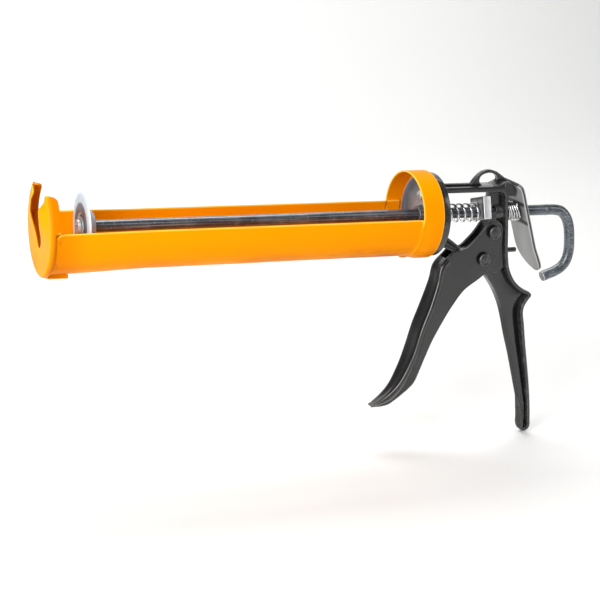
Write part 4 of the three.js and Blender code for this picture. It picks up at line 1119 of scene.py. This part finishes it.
def web(back, front, wide, edge=0.6, steps=3, waist=0.0):
    """A section with rounded corners between paired points. Along the joining line it runs from
    e to L - e on its flanks, and round each corner by e sin a, as the width drops e (1 - cos a). A
    waist makes the section narrower towards the back line by waist (1 - k)^2."""
    back, front = np.asarray(back, float), np.asarray(front, float)
    length = np.linalg.norm(front - back, axis=1)[:, None]
    ahead = (front - back) / length
    wide = np.broadcast_to(wide, len(back))[:, None]
    e = np.minimum(edge, np.minimum(0.45 * length, 0.9 * wide))
    turn = np.linspace(0, np.pi / 2, steps + 1)
    on_flank = np.array([0.25, 0.5, 0.75])
    none, out, down, half = 0 * on_flank, np.sin(turn), 1 - np.cos(turn), len(turn)
    k = np.concatenate([on_flank, np.ones(2 * half), on_flank[::-1], np.zeros(2 * half)])[None]
    bulge = np.concatenate([none, out, out[::-1], none, -out, -out[::-1]])[None]
    drop = np.concatenate([none, down, down[::-1], none, down, down[::-1]])[None]
    drop = drop * e + waist * (1 - k) ** 2
    side = np.concatenate([-np.ones(3 + half), np.ones(half + 3 + half), -np.ones(half)])[None]
    along = e + k * (length - 2 * e) + e * bulge
    flat = back[:, None] + ahead[:, None] * along[..., None]
    return shell(np.stack([flat[..., 0], side * (wide - drop), flat[..., 1]], axis=-1))


def rightwards(line):
    """Unit vectors to the right of the direction that a line of X and Z runs in."""
    along = unit(np.gradient(line, axis=0))
    return np.stack([along[:, 1], -along[:, 0]], axis=1)


def beside(line, distance):
    """A line of X and Z moved sideways, to its right where distance is positive."""
    return line + rightwards(line) * np.reshape(distance, (-1, 1))


def arc_round(x, z, radius, first, last, steps=12):
    """Points on part of a circle in X and Z, by angles in degrees."""
    a = np.radians(np.linspace(first, last, steps + 1))
    return np.stack([x + radius * np.cos(a), z + radius * np.sin(a)], axis=1)


# %% [markdown]
# The drive plate is a stamped square with a round hole a little wider than the rod. The fork
# below pushes it forward at its lower edge, so it tilts, bites and takes the rod along. It has
# turned on the rod by 18 degrees, as these plates do in use.

# %% Drive plate, fork and pins
PLATE_TURN = math.radians(-18.25)
FORK_PIN = (-8.5, -12.4)
HINGE_PIN = (-14.1, -30.1)


def drive_plate():
    """A square outline with small corner curves, turned about the rod's axis."""
    square = eased([(-8.8, -5.1), (8.8, -5.1), (8.8, 9.8), (-8.8, 9.8)], 0.9)
    c, s = math.cos(PLATE_TURN), math.sin(PLATE_TURN)
    return slab(square @ np.array([[c, s], [-s, c]]), -19.2, -13.9, edge=0.4, place=lengthways)


def fork():
    """A rounded heel on the upper pin and, on each side of the rod, a horn with a round nose."""
    heel = np.vstack([arc_round(*FORK_PIN, 4.9, 200, 380), [(-8.6, -6.5), (-8.6, -4.1),
                                                            (-13.6, -4.1)]])
    nose = np.vstack([arc_round(-11.1, -0.5, 2.5, 0, 180), [(-13.6, -5.6), (-8.6, -5.6)]])
    parts = [(heel, -4.7, 4.7), (nose, 3.9, 6.4), (nose, -6.4, -3.9)]
    return [slab(evenly(loop, 0.5), low, high, edge=0.5) for loop, low, high in parts]


def pin(place):
    """A shank across the gun with a flat round head at each end, which has a turned ring."""
    half = [(0.05, -8.45), (2.3, -8.45), (2.6, -8.2), (2.9, -8.2), (3.1, -8.55), (3.9, -8.5),
            (4.45, -7.95), (4.45, -7.2), (3.0, -7.2)]
    other = [(radius, -place) for radius, place in half[::-1]]
    return turned(eased(half + other, 0.18, closed=False, steps=2), place, columns=48, along="y")


rod_hole = mesh_object("rod_hole", turned([(3.9, -22), (3.9, -11)], columns=64))
plate = carved(mesh_object("square_plate", drive_plate()), rod_hole)
dress(plate, "plate_metal", "drive", "drive_plate", like="zinc_plate")
# The fork's slot is zinc, but it wears the black casting's finish: painted shade, as it sits in
# shadow behind the plate.
dress(mesh_object("horned_fork", *fork()),
      "black_casting", "trigger", "pusher_fork", like="zinc_plate")
dress(mesh_object("fork_pin", pin(FORK_PIN)), "black_casting", "trigger", "pusher_pin")
dress(mesh_object("hinge_pin", pin(HINGE_PIN)), "black_casting", "frame", "trigger_pivot_pin")

# %% [markdown]
# The release lever is a strip of steel that leans on the rod behind the frame. Its top is bent
# forward into a lip over the frame's block, its end is rounded, and below the middle it bends
# back a little for the thumb.

# %% Release lever and its stop
LEVER_WIDTH = 12.0
LEVER_TIP = -40.5
TIP_LENGTH = 13.8
HALF_THICK = 1.3
BEND_START = -20
SLOT_SIZE = [4.4, 6.2]


def lever_strip():
    """The middle line is x = 11.58 - 0.35 z, plus 0.012 (-z - 20)^2 below -20, after a curved lip.
    The half width is 12, and in the last 13.8 it is 12 sqrt(1 - u^2). The lip's edge is rounded
    by a thickness that starts at 0.72 of the full one, and its corners are cut back by 1.4."""
    lip = [(2.55, 19.75), (3.4, 19.05), (4.5, 18.1), (5.45, 16.7), (6.2, 15.1), (7.4, 12.0)]
    u = np.sin(np.linspace(0, 0.494 * np.pi, 26))
    z = np.concatenate([np.linspace(10, LEVER_TIP + TIP_LENGTH, 30)[:-1],
                        LEVER_TIP + TIP_LENGTH * (1 - u)])
    x = 11.58 - LEVER_LEAN * z + 0.012 * np.maximum(BEND_START - z, 0) ** 2
    line = np.vstack([curve_through(lip, 4), np.stack([x, z], axis=1)])
    wide = np.concatenate([np.full(len(line) - len(u), LEVER_WIDTH),
                           LEVER_WIDTH * np.sqrt(1 - u**2)])
    close = np.linalg.norm(line - line[0], axis=1)
    share = 1 - np.minimum(close, 0.9) / 0.9
    thick = HALF_THICK * np.where(close < 0.9, 0.72 + 0.28 * np.sqrt(1 - share**2), 1)
    corner = 1.4 * (1 - smoothstep(close, 0, 2.2))
    return web(beside(line, -thick), beside(line, thick), wide - corner, edge=0.65, steps=4)


def rod_slot():
    """The tool for the tall slot: an ellipse of 4.4 by 6.2 that reaches through the strip."""
    a = full_turn(64)
    oval = SLOT_SIZE * np.stack([np.cos(a), np.sin(a)], axis=1)
    return mesh_object("slot_tool", slab(oval, 2, 22, edge=0.05, place=lengthways))


stop = eased([(0.05, 12.4), (1.6, 12.4), (1.6, 1.2), (0.05, 1.2)], 0.4, closed=False)
dress(carved(mesh_object("thumb_strip", lever_strip(), sharp=50), rod_slot()),
      "lever_steel", "lever", "release_lever")
dress(mesh_object("stop_peg", turned(stop, (0, -26.3), columns=32)),
      "black_casting", "frame", "lever_stop_pin")

# %% [markdown]
# The frame is one casting of walls and webs: a round flange at the front, a flat bar with the
# hang lug, a rear wall that becomes the back flange of the handle, the handle's thick web, the
# pivot block and the hollowed strut to the flange. Each wall is drawn where the casting has
# it, and each runs into its neighbours.

# %% Frame casting
FLANGE_BACK = -55.1
BACK_THICK = 2.2
LOWEST = -153.2
LUG_HALF = 1.7
HOLE_PLACE = [-14.7, 21.7]
HOLE_SIZE = [6.7, 4.6]
BACK_LINE = [(-2.1, 17.2), (-1.5, 12.5), (0, 0), (1.35, -11.2), (2.7, -23.3), (4.3, -32.7),
             (6, -38.3), (10.6, -45.9), (17.5, -51.8), (22.9, -54.3), (24.8, -56.9),
             (22.7, -59.8), (20.2, -64.2), (19.7, -68.7), (21.3, -76.3), (24.9, -91.8),
             (29.4, -109.4), (33.2, -125.2), (36.1, -139.5), (37.3, -147.3), (37.9, -151.8),
             (36.9, -155.2), (34.3, -156.7), (31.7, -155.4), (30.6, -151.5), (29.9, -146),
             (28.3, -138), (26.2, -130)]
FRONT_LINE = [(-14.5, -34), (-12, -38), (-7.9, -44.5), (-1.2, -53.6), (4.1, -63.2), (7.9, -72.9),
              (12.2, -86.3), (17.1, -100.1), (22.2, -115.9), (26.7, -130), (30.7, -142.1),
              (30.9, -148), (31.9, -152.7)]


def flange_width(z):
    """Half the width of the back flange: 7 at the neck, 8 at the swell and 4.4 near the end, which
    is round. Past the lowest point, where it turns up into the web, it narrows to 1.6."""
    straight = np.interp(-z, [51.8, 76.3, -LOWEST], [7, 8, 4.4])
    rounded = np.sqrt(np.maximum(4.4**2 - (z - LOWEST) ** 2, 0.6))
    down = np.where(z < LOWEST, rounded, straight)
    past = np.arange(len(z)) > z.argmin()
    return np.where(past, np.interp(-z, [130, 140, 152, 157], [1.6, 3.4, 4.2, 2.5]), down)


def back_flange():
    """The rear wall and the handle's back flange: 2.2 thick inwards from the outer line."""
    outer = evenly(curve_through(BACK_LINE, 10), 0.9, closed=False)
    return web(outer, beside(outer, BACK_THICK), flange_width(outer[:, 1]) - 0.04, edge=0.7)


def handle_web():
    """The thick middle of the handle, from inside the back flange to its rounded front edge. The
    half width is 4.6 in the upper part, 3.9 above the tip and 2.4 at the end."""
    outer = curve_through(BACK_LINE[5:-6], 8)
    back = evenly(beside(outer, BACK_THICK / 2), 1.4, closed=False)
    front = evenly(curve_through(FRONT_LINE, 8), 0.5, closed=False)
    front = front[np.linspace(0, len(front) - 1, len(back)).round().astype(int)]
    wide = np.interp(-back[:, 1], [34, 40, 70, 136, 143, 160], [4.4, 4.6, 4.6, 3.9, 2.6, 2.4])
    return web(back, front, wide, edge=2.3, steps=6, waist=1.3)


def top_bar():
    """The bar, its block over the rear wall, the fillet under it and the gusset behind the lug."""
    bar_web = web([(-56.5, 18.1), (-2.4, 18.1)], [(-56.5, 14.7), (-2.4, 14.7)], 7, edge=0.7)
    block = eased([(-4.6, 21), (-1.2, 21), (3.6, 17.4), (4.4, 11.4), (-3.4, 11.4), (-5.6, 14.9)],
                  [0.8, 1.4, 1.4, 0.6, 0.5, 0.8])
    fillet = [(-2.2, 15.5), (-8.2, 15.5), (-7.4, 14.75), (-5.6, 14.2), (-4.2, 12.9), (-3.5, 11.0),
              (-2.0, 10.5)]
    gusset = eased([(-12, 17.4), (-4.5, 21), (-1.2, 21), (-2, 17.4)], 0.5)
    return [bar_web, slab(evenly(block, 0.5), -7.03, 7.03, edge=0.7),
            slab(np.array(fillet), -6.6, 6.6, edge=0.5), slab(gusset, -6.4, 6.4, edge=0.6)]


def hang_lug():
    """The raised lug, which is cut on its own: a smooth crest over the bar, 3.4 thick."""
    crest = curve_through([(-28, 17.4), (-26.9, 19.5), (-24.6, 22.7), (-21.3, 25.9),
                           (-17.8, 27.7), (-13.8, 28.1), (-9.5, 27.1), (-6.5, 25.4), (-2.5, 22.8),
                           (0.4, 20.7), (-1.5, 18.4)], 5)
    low = [(-3, 16.4), (-27.5, 16.4)]
    return slab(evenly(np.vstack([crest, low]), 0.6), -LUG_HALF, LUG_HALF, edge=0.8)


def lug_ridge():
    """The low ridge along the bar in front of the lug."""
    ridge = eased([(-56.5, 16.4), (-56.5, 19.5), (-24, 19.5), (-22, 16.4)], 0.6)
    return slab(evenly(ridge, 0.8), -1.65, 1.65, edge=0.6)


def lower_walls():
    """The pivot block, and the strut with its hollowed sides and raised border."""
    pivot = [(-23.8, -38.8), (-30, -33), (-32.5, -26), (-30, -24), (-27, -23.6), (-21.7, -22),
             (-17.7, -19.5), (-9, -18.9), (-2.2, -19.4), (0.6, -21.7), (3.4, -32.7), (3.4, -36.5),
             (-2, -40.5), (-12, -42)]
    strut = [(-57, -16), (-43.7, -21.7), (-36.95, -24.6), (-31.45, -26.9), (-31.45, -21.9),
             (-40.15, -15.7), (-47.5, -11.2), (-55.1, -7.1), (-57, -6.6)]
    return [slab(evenly(eased(pivot, 1.2), 0.7), -4.56, 4.56, edge=0.9),
            slab(softened(evenly(strut, 0.6), 2), -4.5, 4.5, edge=0.6, lip=0.9, sunk=0.9)]


def cast_frame():
    """The flange disc, the rod's boss, the upper web and every wall above but the lug."""
    profile = [(0.1, -59), (26.8, -59), (26.5, -52.9), (24.2, -53.1), (23.2, FLANGE_BACK),
               (0.1, FLANGE_BACK)]
    disc = turned(eased(profile, 0.8, closed=False), columns=144)
    boss = turned(eased([(0.1, -8.4), (5.6, -8.4), (5.6, -1),
                         (0.1, -1)], 0.5, closed=False), columns=48)
    upper = slab(np.array([(-13.6, 0), (-1, 0), (-2.8, 16.4), (-13.6, 16.4)]), -2, 2, edge=0.4)
    return [disc, boss, upper, back_flange(), handle_web(), *top_bar(), lug_ridge(),
            *lower_walls()]


def hang_hole():
    """The tool for the oval hole in the lug, 6.7 by 4.6 from its middle."""
    a = full_turn(48)
    oval = HOLE_PLACE + HOLE_SIZE * np.stack([np.cos(a), np.sin(a)], axis=1)
    return mesh_object("hang_hole", slab(oval, -4, 4, edge=0.05))


lug = carved(mesh_object("hang_lug", hang_lug()), hang_hole())
dress(lug, "black_casting", "frame", "frame_casting")
dress(mesh_object("cast_frame", *cast_frame()), "black_casting", "frame", "frame_casting")

# %% [markdown]
# The trigger is a cast channel: two flat cheeks, a front wall for the fingers, and a rounded
# ridge where the front wall meets each cheek, with a shallow valley beside it. The channel is
# open at the back, where the handle swings in, and its end is solid.

# %% Trigger
TRIGGER_FRONT = [(-37.9, -25.5), (-45.3, -34.3), (-47.3, -45.6), (-51.2, -60.2), (-56.1, -75.2),
                 (-59.7, -90.2), (-63.6, -102.3), (-68.6, -113.1), (-74.2, -120.3),
                 (-81.8, -126.3), (-84.8, -127.8)]
TRIGGER_BACK = [(-83.8, -129.3), (-78, -129.3), (-73.5, -128.4), (-69.6, -126.2), (-61.5, -119.2),
                (-56.5, -113.4), (-53.6, -105.3), (-50.4, -95), (-46, -83.3), (-38.2, -67.9),
                (-31.9, -57.6), (-25.6, -50), (-16, -43.6), (-11.2, -39.7), (-8.5, -36.6),
                (-5.9, -33.3), (-3.3, -28.9), (-1.5, -24.1), (-1.0, -18.7)]
TRIGGER_CREST = [(-14.3, -7.7), (-16.8, -11.5), (-19.3, -14.8), (-22.7, -18.4), (-26.8, -22.2),
                 (-31.5, -23.8), (-36.8, -24.3)]

WIDEST = 8.2
CHEEK_WIDTH, CHEEK_SHARE, CHEEK_THICK = 6.6, 0.81, 1.9


def trigger_width(z):
    """Half the width over the ridges, by height."""
    return np.interp(-z, [30, 36, 60.8, 92.6, 109.2, 121, 125.7, 127.6, 128.9, 129.6],
                     [6.5, 6.9, WIDEST, WIDEST, 7.0, 5.1, 3.8, 2.9, 1.8, 0.6])


def cheek_width(z):
    """Half the width over the cheeks: 6.6, or 0.81 of that over the ridges where it is less."""
    return np.minimum(CHEEK_WIDTH, CHEEK_SHARE * trigger_width(z) + 0.02)


def cheeks():
    """Two slabs 1.9 thick. Their front edge lies under the ridge, and they end inside the tip."""
    front = evenly(curve_through(TRIGGER_FRONT[:9], 8), 0.9, closed=False)
    front = beside(front, -1.7 * smoothstep(-front[:, 1], 36, 48))
    back = curve_through(TRIGGER_BACK[4:], 6)
    lobe = arc_round(*FORK_PIN, 7.4, -8, 140, 20)
    crest = curve_through(TRIGGER_CREST, 4)
    loop = evenly(np.vstack([front, back, lobe, crest]), 0.9)
    outer = cheek_width(loop[:, 1])
    inner = outer - CHEEK_THICK
    return [slab(loop, inner, outer, edge=0.55), slab(loop, -outer, -inner, edge=0.55)]


# depth behind the front line, the shares of the cheek's and of the ridge's half width, a rest
RIDGE = np.array([(5.8, 1, 0, -1.4), (5.8, 1, 0, -0.7), (5.1, 1, 0, -0.35), (4.6, 1, 0, -0.1),
                  (4.1, 0.7, 0.3, 0), (3.5, 0.35, 0.65, 0), (2.9, 0.1, 0.9, 0), (2.3, 0, 1, 0),
                  (1.7, 0, 1, -0.06), (1.1, 0, 1, -0.3), (0.6, 0, 1, -0.75), (0.22, 0, 1, -1.4),
                  (0.03, 0, 1, -2.3), (0.05, 0, 0.45, 0), (0.25, 0, 0.2, 0)])
INSIDE = np.array([(5.8, 1, 0, -1.4), (3.2, 1, 0, -1.6), (2.5, 1, 0, -2.1), (2.4, 1, 0, -3)])


def front_wall():
    """The front wall and both ridges as one closed section, carried down the front line. A point
    of the section lies at its depth behind the line, shortened where the trigger is thin, and
    across at its shares of the two half widths."""
    line = evenly(curve_through(TRIGGER_FRONT, 10), 0.8, closed=False)
    line = line[line[:, 1] < -28.6]
    back = curve_through(TRIGGER_BACK[:14], 10)
    near = np.min(np.linalg.norm(line[:, None] - back[None], axis=2), axis=1)
    thin = np.minimum(1, near / WIDEST)[:, None]
    inwards = -rightwards(line)
    ring = np.vstack([RIDGE, RIDGE[::-1], INSIDE[1:], INSIDE[:0:-1]])
    ridge, inner = len(RIDGE), len(INSIDE) - 1
    side = np.repeat([1.0, -1.0, 1.0], [ridge, ridge + inner, inner])
    c, w = cheek_width(line[:, 1])[:, None], trigger_width(line[:, 1])[:, None]
    rest = ring[None, :, 3] * np.minimum(1, w / WIDEST)
    y = side * np.maximum(ring[None, :, 1] * c + ring[None, :, 2] * w + rest, 0.02)
    flat = line[:, None] + inwards[:, None] * (ring[None, :, 0] * thin)[..., None]
    return shell(np.stack([flat[..., 0], y, flat[..., 1]], axis=-1))


def solid_tip():
    """The end of the trigger, where the channel is filled: a rounded web between the two lines."""
    front = evenly(curve_through(TRIGGER_FRONT[6:], 10), 0.4, closed=False)
    back = evenly(curve_through(TRIGGER_BACK[:8][::-1], 10), 0.4, closed=False)
    back = back[back[:, 1] < -103]
    back, front = (line[np.linspace(0, len(line) - 1, 44).round().astype(int)]
                   for line in (back, front))
    wide = cheek_width(0.5 * (back + front)[:, 1]) + 0.04
    return web(back, front * 0.9 + back * 0.1, wide, edge=1.5, steps=5)


dress(mesh_object("cast_trigger", *cheeks(), front_wall(), solid_tip(), sharp=45),
      "black_casting", "trigger", "trigger")

# %% [markdown]
# The gun stands in a bright studio, so the floor is one pale sheet that curves up behind it.

# %% Floor


def sweep():
    """A sheet wide across X. Its height is 0 in front, and a quarter turn of radius 0.5 behind,
    which fades out towards the yoke's side, so that the castings have something dark to mirror."""
    x = np.linspace(-3, 3, 61)[:, None]
    a = np.linspace(0.1, np.pi / 2, 16)
    run = np.concatenate([np.linspace(-3, 0.9, 20), 0.9 + 0.5 * np.sin(a), [1.4] * 6])
    rise = np.concatenate([np.zeros(20), 0.5 * (1 - np.cos(a)), np.linspace(0.8, 3, 6)])
    height = FLOOR_LEVEL + rise * smoothstep(x, -0.75, -0.25)
    grid = np.stack([x + 0 * run, run + 0 * x, height], axis=-1)
    return open_sheet("floor", grid / MM)


def floor_finish():
    floor = Finish("floor_paper", Roughness=0.85)
    tone = floor.blend(floor.noise(3, 2.0), (0.83, 0.83, 0.82, 1), (0.86, 0.86, 0.85, 1))
    return floor.finish(Base_Color=tone)


floor = sweep()
floor.data.shade_smooth()
floor.data.materials.append(floor_finish())
print("floor at", round(FLOOR_LEVEL, 4))

# %% Sizes of the solids
print("solids ", SOLID_BOX)
